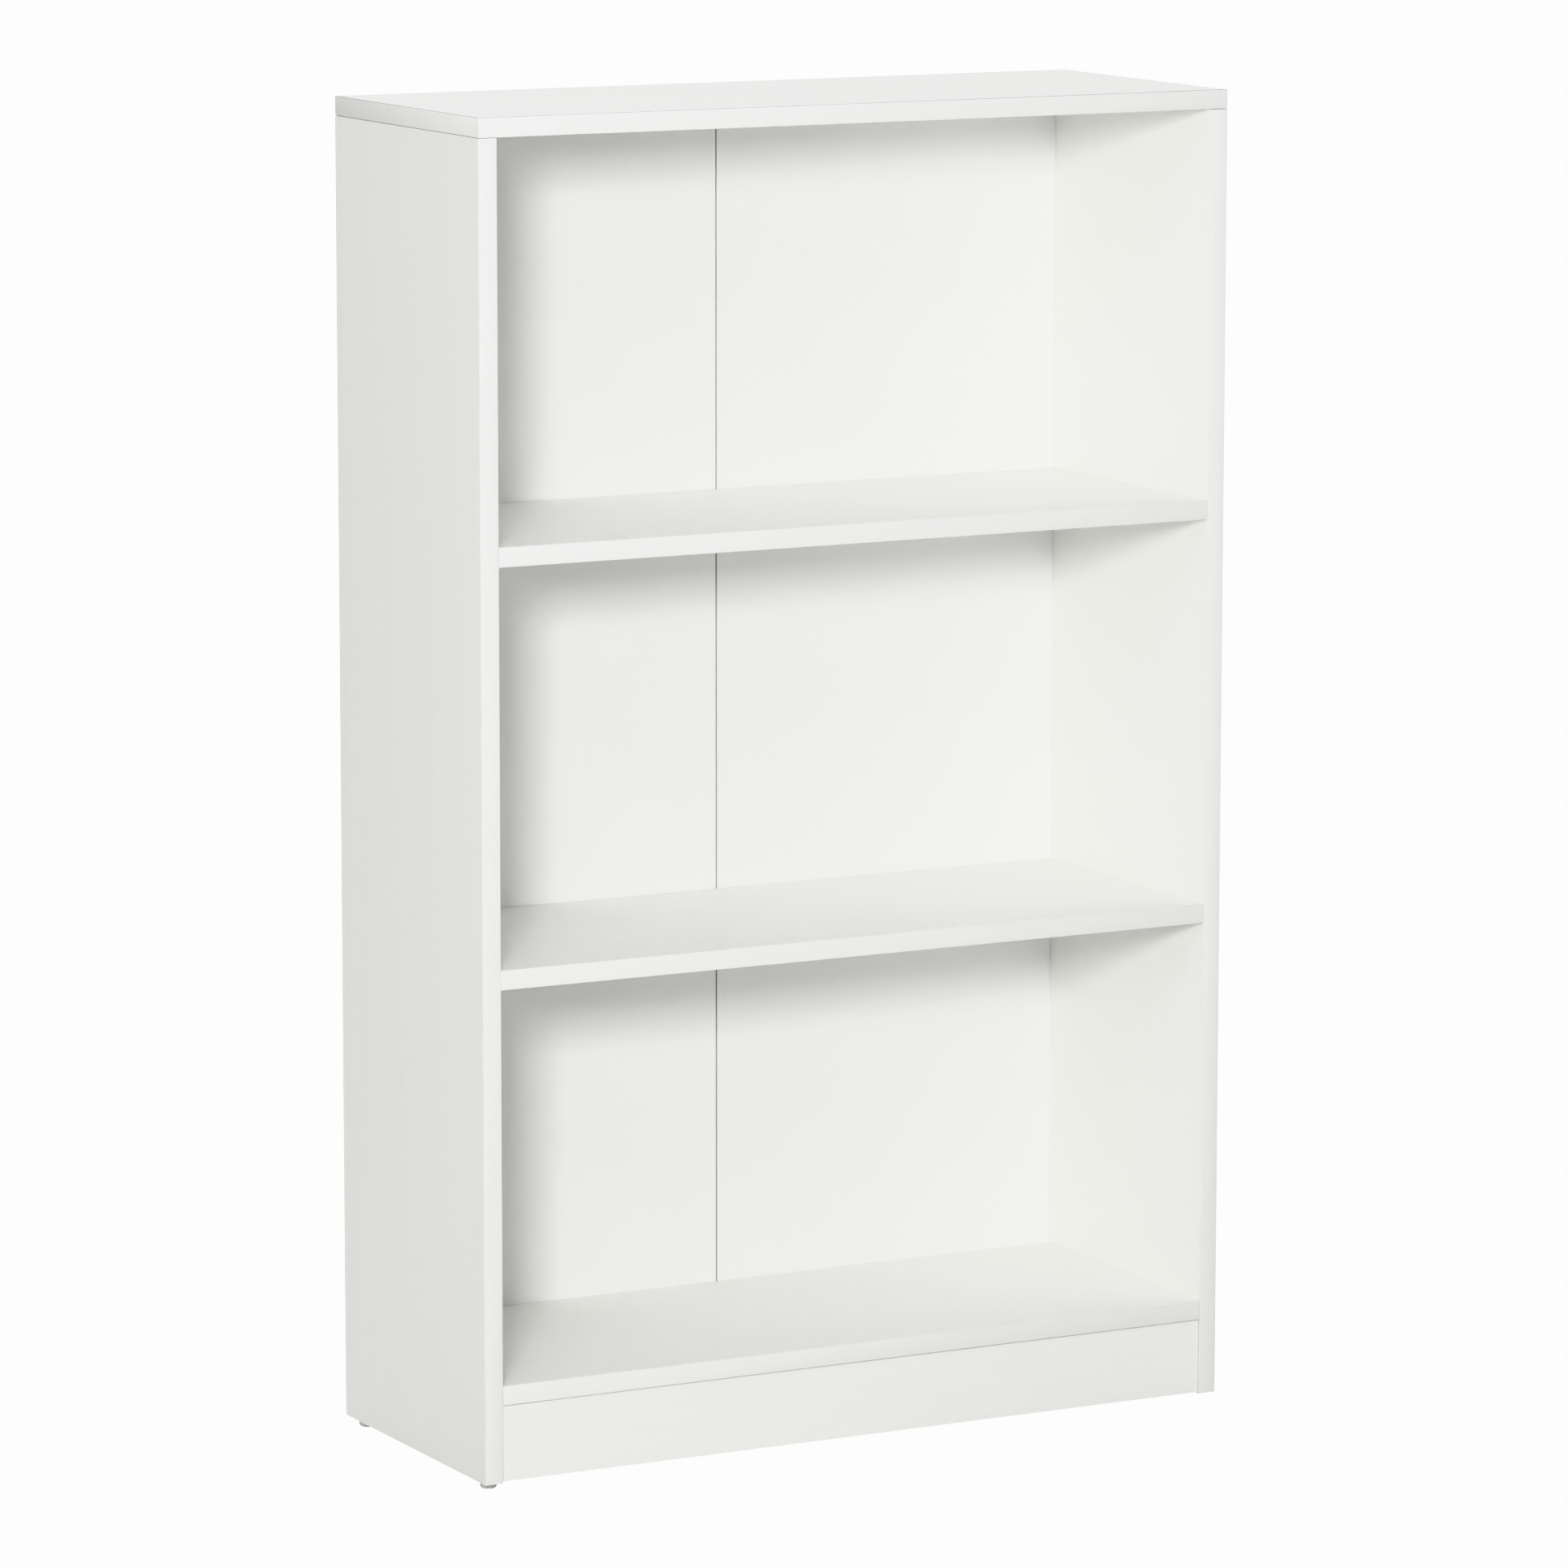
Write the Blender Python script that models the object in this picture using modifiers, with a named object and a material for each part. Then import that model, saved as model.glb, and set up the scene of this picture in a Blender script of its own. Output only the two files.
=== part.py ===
"""Open bookcase with three equal compartments, in white melamine-faced chipboard.

The sides stand on nailed glides. The top lies over them on glued dowels. The two shelves and the
bottom panel hang between them on cam locks, cam bolts and dowels, and a plinth board closes the
front below. The thin back is two boards with a taped seam, held in grooves.

Metres. The origin is on the floor under the middle: +X is right, +Y goes to the back, +Z is up.
"""

import math

import bmesh
import bpy
from mathutils import Matrix, Vector

# Carcass
WIDTH = 0.690
DEPTH = 0.272
COMPARTMENT_HEIGHT = 0.327
PLINTH_SPACE = 0.065
BOARD_THICKNESS = 0.016
LEVEL_NAMES = ("bottom_panel", "lower_shelf", "upper_shelf")

# Edge bands, on the edges that show
BAND_THICKNESS = 0.001
BAND_ARRIS = 0.0004

# Plinth board, set a little back from the front and up from the floor
PLINTH_RECESS = 0.0015
PLINTH_FLOOR_CLEARANCE = 0.0013
PLINTH_TOP_GAP = 0.0006
PLINTH_END_GAP = 0.0005

# Back boards in their grooves, and the tape along their seam
BACK_THICKNESS = 0.003
BACK_GROOVE_SETBACK = 0.0102
BACK_GROOVE_DEPTH = 0.007
BACK_GROOVE_CLEARANCE = 0.0003
BACK_SHELF_GAP = 0.0005
SEAM_GAP = 0.0013
TAPE_WIDTH = 0.030
TAPE_THICKNESS = 0.0003
TAPE_END_SPACE = 0.003

# Clearances between pieces that touch
JOINT_GAP = 0.0003
BORE_CLEARANCE = 0.0003
BORE_END_SPACE = 0.0005

# Where the fittings sit on the boards
FITTING_FRONT_INSET = 0.040
FITTING_REAR_INSET = 0.040
PLINTH_DOWEL_INSET = 0.018
FACE_BORE_SKIN = 0.0055

# Dowels
DOWEL_RADIUS = 0.004
DOWEL_LENGTH = 0.030
DOWEL_CHAMFER = 0.0008

# Cam locks, turned a half turn in the underside of each board
CAM_RADIUS = 0.0073
CAM_BORE_SKIN = 0.0035
CAM_SETBACK = 0.034
CAM_RAIL_INNER = 0.0044
CAM_POCKET_REACH = 0.0040
CAM_DRIVE_LENGTH = 0.0080
CAM_DRIVE_WIDTH = 0.0013
CAM_DRIVE_DEPTH = 0.0020

# Cam bolts
BOLT_HEAD_RADIUS = 0.0035
BOLT_HEAD_LENGTH = 0.0028
BOLT_HEAD_ROUND = 0.0008
BOLT_NECK_RADIUS = 0.0021
BOLT_NECK_LENGTH = 0.0050
BOLT_SHANK_RADIUS = 0.0030
BOLT_THREAD_RADIUS = 0.0026
BOLT_TIP_LENGTH = 0.0010

# Glides, each with its nail, put in by eye: the right front one stands further back
GLIDE_RADIUS = 0.007
GLIDE_HEIGHT = 0.005
GLIDE_RIM_HEIGHT = 0.0022
GLIDE_FOOT_RADIUS = 0.0042
GLIDE_FRONT_LEFT_INSET = 0.012
GLIDE_FRONT_RIGHT_INSET = 0.034
GLIDE_REAR_INSET = 0.026
NAIL_RADIUS = 0.0011
NAIL_LENGTH = 0.012
NAIL_POINT_LENGTH = 0.002

# Facets
BORE_VERTICES = 16
CAM_VERTICES = 24
DOWEL_STEPS = 16
BOLT_STEPS = 12
GLIDE_STEPS = 32
GLIDE_DOME_STEPS = 4
CUTTER_OVERSHOOT = 0.001
SMOOTH_BELOW = math.radians(35)

# Places worked out from the sizes above
SIDE_OUTER_X = WIDTH / 2
SIDE_INNER_X = SIDE_OUTER_X - BOARD_THICKNESS
SIDE_MIDDLE_X = SIDE_OUTER_X - BOARD_THICKNESS / 2
FRONT_Y = -DEPTH / 2
REAR_Y = DEPTH / 2
CORE_FRONT_Y = FRONT_Y + BAND_THICKNESS + JOINT_GAP
GROOVE_REAR_Y = REAR_Y - BACK_GROOVE_SETBACK
BACK_REAR_Y = GROOVE_REAR_Y - BACK_GROOVE_CLEARANCE
BACK_FRONT_Y = BACK_REAR_Y - BACK_THICKNESS
GROOVE_FRONT_Y = BACK_FRONT_Y - BACK_GROOVE_CLEARANCE
SHELF_REAR_Y = BACK_FRONT_Y - BACK_SHELF_GAP
BASE_Z = GLIDE_HEIGHT
LEVEL_PITCH = COMPARTMENT_HEIGHT + BOARD_THICKNESS
BOTTOM_Z = BASE_Z + PLINTH_SPACE
TOP_Z = BOTTOM_Z + len(LEVEL_NAMES) * LEVEL_PITCH
BACK_SEAT = BACK_GROOVE_DEPTH - BORE_END_SPACE
FACE_BORE_DEPTH = BOARD_THICKNESS - FACE_BORE_SKIN
END_BORE_DEPTH = DOWEL_LENGTH + 2 * BORE_END_SPACE - FACE_BORE_DEPTH - JOINT_GAP
CAM_BORE_DEPTH = BOARD_THICKNESS - CAM_BORE_SKIN
CAM_HEIGHT = CAM_BORE_DEPTH - BORE_END_SPACE
FITTING_FRONT_Y = FRONT_Y + FITTING_FRONT_INSET
FITTING_REAR_Y = SHELF_REAR_Y - FITTING_REAR_INSET
FITTING_MIDDLE_Y = (FITTING_FRONT_Y + FITTING_REAR_Y) / 2

SIDES = {"left": -1, "right": 1}
ROWS = {"front": FITTING_FRONT_Y, "rear": FITTING_REAR_Y}


def clear_scene():
    for obj in list(bpy.data.objects):
        bpy.data.objects.remove(obj, do_unlink=True)


def new_collection(name):
    made = bpy.data.collections.new(name)
    bpy.context.scene.collection.children.link(made)
    return made


def linear(channel):
    """One sRGB channel, 0 to 1, as linear light."""
    if channel <= 0.04045:
        return channel / 12.92
    return ((channel + 0.055) / 1.055) ** 2.4


def new_material(name, srgb, roughness, metallic=0.0):
    made = bpy.data.materials.new(name)
    made.use_nodes = True
    shader = made.node_tree.nodes["Principled BSDF"]
    colour = [linear(channel / 255) for channel in srgb]
    shader.inputs["Base Color"].default_value = (*colour, 1.0)
    shader.inputs["Roughness"].default_value = roughness
    shader.inputs["Metallic"].default_value = metallic
    return made


clear_scene()
parts = new_collection("bookcase")
cutters = new_collection("cutters")
melamine = new_material("white_melamine", (240, 240, 236), 0.45)
lacquer = new_material("white_lacquered_hardboard", (242, 242, 242), 0.40)
band_plastic = new_material("white_edge_band", (240, 240, 243), 0.38)
tape_film = new_material("paper_seam_tape", (214, 208, 194), 0.70)
beech = new_material("beech_dowel", (205, 170, 125), 0.60)
die_cast_zinc = new_material("die_cast_zinc", (170, 170, 172), 0.40, 1.0)
plated_steel = new_material("zinc_plated_steel", (190, 190, 188), 0.32, 1.0)
glide_plastic = new_material("grey_glide_plastic", (178, 178, 172), 0.50)

carcass = bpy.data.objects.new("bookcase_origin", None)
parts.objects.link(carcass)


def add_part(name, mesh, location, rotation=None):
    """A part of the bookcase: its mesh at this place, turned by this rotation matrix."""
    part = bpy.data.objects.new(name, mesh)
    part.parent = carcass
    part.location = location
    if rotation is not None:
        part.rotation_euler = rotation.to_euler()
    parts.objects.link(part)
    return part


def cutters_of(part):
    """The collection of one part's cutters, which a single Boolean takes away together."""
    name = part.name + "_cutters"
    found = cutters.children.get(name)
    if found is None:
        found = bpy.data.collections.new(name)
        cutters.children.link(found)
        boolean = part.modifiers.new("cuts", "BOOLEAN")
        boolean.operation = "DIFFERENCE"
        boolean.solver = "EXACT"
        boolean.operand_type = "COLLECTION"
        boolean.collection = found
    return found


def cut(part, name, mesh, location, rotation=None):
    """Takes this shape away from the part."""
    cutter = bpy.data.objects.new(name, mesh)
    cutter.location = location
    if rotation is not None:
        cutter.rotation_euler = rotation.to_euler()
    cutter.hide_render = True
    cutter.display_type = "WIRE"
    cutters_of(part).objects.link(cutter)


def turn_z_to(direction):
    """The rotation that takes local +Z to this direction."""
    return Vector(direction).to_track_quat("Z", "Y").to_matrix()


def box_mesh(name, size):
    mesh = bpy.data.meshes.new(name)
    shape = bmesh.new()
    bmesh.ops.create_cube(shape, size=1.0)
    bmesh.ops.scale(shape, vec=size, verts=shape.verts)
    shape.to_mesh(mesh)
    shape.free()
    return mesh


def rod_mesh(name, radius, length, vertices):
    """A cylinder from the origin along +Z."""
    mesh = bpy.data.meshes.new(name)
    shape = bmesh.new()
    bmesh.ops.create_cone(
        shape,
        cap_ends=True,
        segments=vertices,
        radius1=radius,
        radius2=radius,
        depth=length,
        matrix=Matrix.Translation((0.0, 0.0, length / 2)),
    )
    shape.to_mesh(mesh)
    shape.free()
    return mesh


def span(low, high):
    """The size and the centre of the box between two corners."""
    low, high = Vector(low), Vector(high)
    return high - low, (low + high) / 2


def board(name, low, high, material):
    """A rectangular board between two corners."""
    size, centre = span(low, high)
    mesh = box_mesh(name, size)
    mesh.materials.append(material)
    return add_part(name, mesh, centre)


def cut_box(part, name, low, high):
    size, centre = span(low, high)
    cut(part, name, box_mesh(name, size), centre)


def bore(part, name, mouth, direction, radius, depth, vertices=BORE_VERTICES):
    """A blind round hole that starts at its mouth, on the board's surface, and runs in this direction."""
    direction = Vector(direction)
    start = Vector(mouth) - direction * CUTTER_OVERSHOOT
    mesh = rod_mesh(name, radius, depth + CUTTER_OVERSHOOT, vertices)
    cut(part, name, mesh, start, turn_z_to(direction))


def finished_mesh(part):
    """The mesh that a part's modifiers leave, shaded smooth on its round faces. The part itself is removed."""
    bpy.context.view_layer.update()
    graph = bpy.context.evaluated_depsgraph_get()
    mesh = bpy.data.meshes.new_from_object(part.evaluated_get(graph))
    mesh.shade_smooth()
    mesh.set_sharp_from_angle(angle=SMOOTH_BELOW)
    bpy.data.objects.remove(part, do_unlink=True)
    return mesh


def turned_mesh(name, profile, steps, material):
    """The solid that a profile of (radius, height) points, from the top down, makes as it turns round Z."""
    outline = bpy.data.meshes.new(name + "_profile")
    points = [(radius, 0.0, height) for radius, height in profile]
    outline.from_pydata(points, [(i, i + 1) for i in range(len(points) - 1)], [])
    blank = add_part(name, outline, (0.0, 0.0, 0.0))
    screw = blank.modifiers.new("turn", "SCREW")
    screw.axis = "Z"
    screw.angle = 2 * math.pi
    screw.steps = steps
    screw.render_steps = steps
    screw.use_merge_vertices = True
    screw.merge_threshold = 0.00001
    mesh = finished_mesh(blank)
    mesh.name = name
    mesh.materials.clear()
    mesh.materials.append(material)
    return mesh


def edge_band(name, low, high, outward):
    """A band along a board's edge. The arris round its outer face is eased."""
    band = board(name, low, high, band_plastic)
    shape = bmesh.new()
    shape.from_mesh(band.data)
    weight = shape.edges.layers.float.new("bevel_weight_edge")
    for edge in shape.edges:
        if all(corner.co.dot(Vector(outward)) > 0 for corner in edge.verts):
            edge[weight] = 1.0
    shape.to_mesh(band.data)
    shape.free()
    bevel = band.modifiers.new("arris", "BEVEL")
    bevel.limit_method = "WEIGHT"
    bevel.width = BAND_ARRIS
    bevel.segments = 2
    return band


def front_band(name, x_low, x_high, z_low, z_high):
    low = (x_low, FRONT_Y, z_low)
    high = (x_high, FRONT_Y + BAND_THICKNESS, z_high)
    edge_band(name, low, high, (0, -1, 0))


def make_side_panel(side, sign):
    """A side, from the glides up to the underside of the top, with its groove for the back."""
    name = side + "_side_panel"
    inner, outer = sign * SIDE_INNER_X, sign * SIDE_OUTER_X
    low_x, high_x = min(inner, outer), max(inner, outer)
    panel = board(
        name,
        (low_x, CORE_FRONT_Y, BASE_Z),
        (high_x, REAR_Y, TOP_Z - JOINT_GAP),
        melamine,
    )
    groove_mouth = inner - sign * CUTTER_OVERSHOOT
    groove_floor = inner + sign * BACK_GROOVE_DEPTH
    cut_box(
        panel,
        side + "_side_groove",
        (min(groove_mouth, groove_floor), GROOVE_FRONT_Y, BASE_Z - CUTTER_OVERSHOOT),
        (max(groove_mouth, groove_floor), GROOVE_REAR_Y, TOP_Z + CUTTER_OVERSHOOT),
    )
    front_band(side + "_side_band", low_x, high_x, BASE_Z, TOP_Z - JOINT_GAP)
    return panel


def make_top_panel():
    """The top, banded at the front and at both ends. Its groove runs out under the end bands."""
    end_x = SIDE_OUTER_X - BAND_THICKNESS - JOINT_GAP
    upper_z = TOP_Z + BOARD_THICKNESS
    panel = board(
        "top_panel", (-end_x, CORE_FRONT_Y, TOP_Z), (end_x, REAR_Y, upper_z), melamine
    )
    cut_box(
        panel,
        "top_groove",
        (-SIDE_OUTER_X, GROOVE_FRONT_Y, TOP_Z - CUTTER_OVERSHOOT),
        (SIDE_OUTER_X, GROOVE_REAR_Y, TOP_Z + BACK_GROOVE_DEPTH),
    )
    front_band("top_front_band", -SIDE_OUTER_X, SIDE_OUTER_X, TOP_Z, upper_z)
    for side, sign in SIDES.items():
        inner, outer = sign * (SIDE_OUTER_X - BAND_THICKNESS), sign * SIDE_OUTER_X
        edge_band(
            f"top_{side}_band",
            (min(inner, outer), CORE_FRONT_Y, TOP_Z),
            (max(inner, outer), REAR_Y, upper_z),
            (sign, 0, 0),
        )
    return panel


def make_level_panel(name, lower_z, rear_y):
    """A board between the sides, banded at the front."""
    end_x = SIDE_INNER_X - JOINT_GAP
    upper_z = lower_z + BOARD_THICKNESS
    panel = board(
        name, (-end_x, CORE_FRONT_Y, lower_z), (end_x, rear_y, upper_z), melamine
    )
    front_band(name + "_band", -end_x, end_x, lower_z, upper_z)
    return panel


def make_bottom_panel():
    """The bottom panel is as deep as the sides, and the back stands in its groove."""
    panel = make_level_panel(LEVEL_NAMES[0], BOTTOM_Z, REAR_Y)
    floor_z = BOTTOM_Z + BOARD_THICKNESS
    cut_box(
        panel,
        "bottom_groove",
        (-SIDE_INNER_X, GROOVE_FRONT_Y, floor_z - BACK_GROOVE_DEPTH),
        (SIDE_INNER_X, GROOVE_REAR_Y, floor_z + CUTTER_OVERSHOOT),
    )
    return panel


def make_plinth():
    end_x = SIDE_INNER_X - PLINTH_END_GAP
    face_y = FRONT_Y + PLINTH_RECESS
    return board(
        "plinth_board",
        (-end_x, face_y, BASE_Z + PLINTH_FLOOR_CLEARANCE),
        (end_x, face_y + BOARD_THICKNESS, BOTTOM_Z - PLINTH_TOP_GAP),
        melamine,
    )


def make_back():
    """Two back boards that meet at the middle, and the tape that hinges them behind."""
    lower_z = BOTTOM_Z + BOARD_THICKNESS
    for side, sign in SIDES.items():
        seam, edge = sign * SEAM_GAP / 2, sign * (SIDE_INNER_X + BACK_SEAT)
        board(
            side + "_back_panel",
            (min(seam, edge), BACK_FRONT_Y, lower_z - BACK_SEAT),
            (max(seam, edge), BACK_REAR_Y, TOP_Z + BACK_SEAT),
            lacquer,
        )
    tape_front_y = BACK_REAR_Y + JOINT_GAP
    board(
        "back_seam_tape",
        (-TAPE_WIDTH / 2, tape_front_y, lower_z + TAPE_END_SPACE),
        (TAPE_WIDTH / 2, tape_front_y + TAPE_THICKNESS, TOP_Z - TAPE_END_SPACE),
        tape_film,
    )


def dowel_mesh():
    half, shoulder = DOWEL_LENGTH / 2, DOWEL_LENGTH / 2 - DOWEL_CHAMFER
    end_radius = DOWEL_RADIUS - DOWEL_CHAMFER
    profile = [
        (0.0, half),
        (end_radius, half),
        (DOWEL_RADIUS, shoulder),
        (DOWEL_RADIUS, -shoulder),
        (end_radius, -half),
        (0.0, -half),
    ]
    return turned_mesh("dowel", profile, DOWEL_STEPS, beech)


def bolt_mesh():
    """A cam bolt along +Z: its thread is below the origin, in the side, and its head above, in the cam."""
    shoulder = JOINT_GAP + CAM_SETBACK - CAM_RAIL_INNER + JOINT_GAP
    head_end = shoulder + BOLT_HEAD_LENGTH
    neck_end = shoulder - BOLT_NECK_LENGTH
    thread_end = BORE_END_SPACE - FACE_BORE_DEPTH
    profile = [
        (0.0, head_end),
        (BOLT_HEAD_RADIUS - BOLT_HEAD_ROUND, head_end),
        (BOLT_HEAD_RADIUS, head_end - BOLT_HEAD_ROUND),
        (BOLT_HEAD_RADIUS, shoulder),
        (BOLT_NECK_RADIUS, shoulder),
        (BOLT_NECK_RADIUS, neck_end),
        (BOLT_SHANK_RADIUS, neck_end),
        (BOLT_SHANK_RADIUS, 0.0),
        (BOLT_THREAD_RADIUS, 0.0),
        (BOLT_THREAD_RADIUS, thread_end + BOLT_TIP_LENGTH),
        (BOLT_THREAD_RADIUS - BOLT_TIP_LENGTH, thread_end),
        (0.0, thread_end),
    ]
    return turned_mesh("cam_bolt", profile, BOLT_STEPS, plated_steel)


def cam_mesh():
    """A cam lock, its underside at the origin and its neck slot towards +X.

    The bolt's head lies in the pocket, behind the rail, and its neck passes the slot. Both are open
    at the top. The cross below takes the screwdriver.
    """
    mesh = rod_mesh("cam_lock", CAM_RADIUS, CAM_HEIGHT, CAM_VERTICES)
    mesh.materials.append(die_cast_zinc)
    cam = add_part("cam_lock", mesh, (0.0, 0.0, 0.0))
    bolt_z = BOARD_THICKNESS / 2
    head_room = BOLT_HEAD_RADIUS + BORE_CLEARANCE
    neck_room = BOLT_NECK_RADIUS + BORE_CLEARANCE
    over_z = CAM_HEIGHT + CUTTER_OVERSHOOT
    cut_box(
        cam,
        "cam_pocket",
        (-CAM_POCKET_REACH, -head_room, bolt_z - head_room),
        (CAM_RAIL_INNER, head_room, over_z),
    )
    cut_box(
        cam,
        "cam_neck_slot",
        (CAM_RAIL_INNER - CUTTER_OVERSHOOT, -neck_room, bolt_z - neck_room),
        (CAM_RADIUS + CUTTER_OVERSHOOT, neck_room, over_z),
    )
    arms = [(CAM_DRIVE_LENGTH, CAM_DRIVE_WIDTH), (CAM_DRIVE_WIDTH, CAM_DRIVE_LENGTH)]
    for number, (along_x, along_y) in enumerate(arms):
        cut_box(
            cam,
            f"cam_drive_{number}",
            (-along_x / 2, -along_y / 2, -CUTTER_OVERSHOOT),
            (along_x / 2, along_y / 2, CAM_DRIVE_DEPTH),
        )
    return finished_mesh(cam)


def glide_mesh():
    """A glide with its nail, its foot at the origin: a flat foot, a domed shoulder and a straight rim."""
    pad_z = GLIDE_HEIGHT - JOINT_GAP
    nail_end = GLIDE_HEIGHT + NAIL_LENGTH
    shoulder = GLIDE_RADIUS - GLIDE_FOOT_RADIUS
    profile = [
        (0.0, nail_end),
        (NAIL_RADIUS, nail_end - NAIL_POINT_LENGTH),
        (NAIL_RADIUS, pad_z),
        (GLIDE_RADIUS, pad_z),
    ]
    for step in range(GLIDE_DOME_STEPS + 1):
        angle = math.pi / 2 * step / GLIDE_DOME_STEPS
        radius = GLIDE_FOOT_RADIUS + shoulder * math.cos(angle)
        height = GLIDE_RIM_HEIGHT * (1 - math.sin(angle))
        profile.append((radius, height))
    profile.append((0.0, 0.0))
    return turned_mesh("glide", profile, GLIDE_STEPS, glide_plastic)


def join_with_dowel(name, mesh, end_part, face_part, meeting, direction):
    """A dowel from a board's end into another board's face. They meet here, and it runs this way into the face."""
    direction = Vector(direction)
    meeting = Vector(meeting)
    radius = DOWEL_RADIUS + BORE_CLEARANCE
    end_mouth = meeting - direction * JOINT_GAP
    bore(end_part, name + "_end_bore", end_mouth, -direction, radius, END_BORE_DEPTH)
    bore(face_part, name + "_face_bore", meeting, direction, radius, FACE_BORE_DEPTH)
    middle = meeting + direction * (FACE_BORE_DEPTH - BORE_END_SPACE - DOWEL_LENGTH / 2)
    add_part(name, mesh, middle, turn_z_to(direction))


def join_with_cam(place, cam, bolt, panel, side_panel, sign, y, lower_z):
    """A cam lock in a board's underside, and the bolt that it draws, in the side."""
    axis_z = lower_z + BOARD_THICKNESS / 2
    face = Vector((sign * SIDE_INNER_X, y, axis_z))
    panel_end = Vector((sign * (SIDE_INNER_X - JOINT_GAP), y, axis_z))
    cam_foot = Vector((panel_end.x - sign * CAM_SETBACK, y, lower_z))
    outward, inward = Vector((sign, 0, 0)), Vector((-sign, 0, 0))
    thread_bore = BOLT_THREAD_RADIUS + BORE_CLEARANCE
    shank_bore = BOLT_HEAD_RADIUS + BORE_CLEARANCE
    cam_bore = CAM_RADIUS + BORE_CLEARANCE
    bore(side_panel, place + "_thread_bore", face, outward, thread_bore, FACE_BORE_DEPTH)
    bore(panel, place + "_shank_bore", panel_end, inward, shank_bore, CAM_SETBACK)
    bore(panel, place + "_cam_bore", cam_foot, (0, 0, 1), cam_bore, CAM_BORE_DEPTH, CAM_VERTICES)
    half_turn = 0.0 if sign > 0 else math.pi
    add_part("cam_lock_" + place, cam, cam_foot, Matrix.Rotation(half_turn, 3, "Z"))
    add_part("cam_bolt_" + place, bolt, face, turn_z_to(inward))


def add_glide(place, mesh, side_panel, sign, y):
    """A glide under a side, its nail driven up the middle of the board."""
    foot = Vector((sign * SIDE_MIDDLE_X, y, 0.0))
    mouth = foot + Vector((0, 0, BASE_Z))
    depth = NAIL_LENGTH + BORE_END_SPACE
    bore(side_panel, place + "_nail_bore", mouth, (0, 0, 1), NAIL_RADIUS + BORE_CLEARANCE, depth)
    add_part("glide_" + place, mesh, foot)


def assemble():
    sides = {side: make_side_panel(side, sign) for side, sign in SIDES.items()}
    top = make_top_panel()
    plinth = make_plinth()
    make_back()
    levels = {LEVEL_NAMES[0]: make_bottom_panel()}
    for number, name in enumerate(LEVEL_NAMES[1:], start=1):
        lower_z = BOTTOM_Z + number * LEVEL_PITCH
        levels[name] = make_level_panel(name, lower_z, SHELF_REAR_Y)

    dowel, bolt, cam, glide = dowel_mesh(), bolt_mesh(), cam_mesh(), glide_mesh()
    for side, sign in SIDES.items():
        side_panel = sides[side]
        for number, (name, panel) in enumerate(levels.items()):
            lower_z = BOTTOM_Z + number * LEVEL_PITCH
            for row, y in ROWS.items():
                place = f"{name}_{row}_{side}"
                join_with_cam(place, cam, bolt, panel, side_panel, sign, y, lower_z)
            meeting = (sign * SIDE_INNER_X, FITTING_MIDDLE_Y, lower_z + BOARD_THICKNESS / 2)
            join_with_dowel(
                f"dowel_{name}_{side}", dowel, panel, side_panel, meeting, (sign, 0, 0)
            )
        for row, y in ROWS.items():
            meeting = (sign * SIDE_MIDDLE_X, y, TOP_Z)
            join_with_dowel(
                f"dowel_top_{row}_{side}", dowel, side_panel, top, meeting, (0, 0, 1)
            )
        plinth_y = FRONT_Y + PLINTH_RECESS + BOARD_THICKNESS / 2
        heights = {
            "lower": BASE_Z + PLINTH_FLOOR_CLEARANCE + PLINTH_DOWEL_INSET,
            "upper": BOTTOM_Z - PLINTH_TOP_GAP - PLINTH_DOWEL_INSET,
        }
        for height, z in heights.items():
            meeting = (sign * SIDE_INNER_X, plinth_y, z)
            join_with_dowel(
                f"dowel_plinth_{height}_{side}", dowel, plinth, side_panel, meeting, (sign, 0, 0)
            )
        front_inset = GLIDE_FRONT_LEFT_INSET if sign < 0 else GLIDE_FRONT_RIGHT_INSET
        add_glide("front_" + side, glide, side_panel, sign, FRONT_Y + front_inset)
        add_glide("rear_" + side, glide, side_panel, sign, REAR_Y - GLIDE_REAR_INSET)


assemble()
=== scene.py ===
"""An open white bookcase with three compartments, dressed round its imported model.

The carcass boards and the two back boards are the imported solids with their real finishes. The edge
bands, seam tape, dowels, cam fittings and glides are modelled here at full detail in their places.
"""

import math

import bmesh
import bpy
from mathutils import Matrix, Vector


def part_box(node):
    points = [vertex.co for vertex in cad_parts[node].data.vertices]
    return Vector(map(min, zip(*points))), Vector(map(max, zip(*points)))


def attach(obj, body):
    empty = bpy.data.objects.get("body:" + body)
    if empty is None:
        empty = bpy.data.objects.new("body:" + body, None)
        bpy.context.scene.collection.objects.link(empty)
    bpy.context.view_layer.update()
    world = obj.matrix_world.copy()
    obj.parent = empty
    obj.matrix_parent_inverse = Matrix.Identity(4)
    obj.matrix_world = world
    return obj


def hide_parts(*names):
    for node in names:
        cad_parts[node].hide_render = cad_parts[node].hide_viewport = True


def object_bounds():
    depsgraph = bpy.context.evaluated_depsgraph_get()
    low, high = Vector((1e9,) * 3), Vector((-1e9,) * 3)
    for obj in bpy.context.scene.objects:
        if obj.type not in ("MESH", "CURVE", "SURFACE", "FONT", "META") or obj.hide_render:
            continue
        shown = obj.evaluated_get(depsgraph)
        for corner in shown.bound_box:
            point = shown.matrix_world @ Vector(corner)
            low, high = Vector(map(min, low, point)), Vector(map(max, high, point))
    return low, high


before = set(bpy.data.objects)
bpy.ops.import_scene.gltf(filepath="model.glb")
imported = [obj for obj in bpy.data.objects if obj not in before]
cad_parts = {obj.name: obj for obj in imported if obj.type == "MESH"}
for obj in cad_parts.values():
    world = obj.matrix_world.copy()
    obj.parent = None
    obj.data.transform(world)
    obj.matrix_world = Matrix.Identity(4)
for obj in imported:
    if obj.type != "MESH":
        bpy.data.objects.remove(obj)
CAD_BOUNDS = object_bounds()


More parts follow.
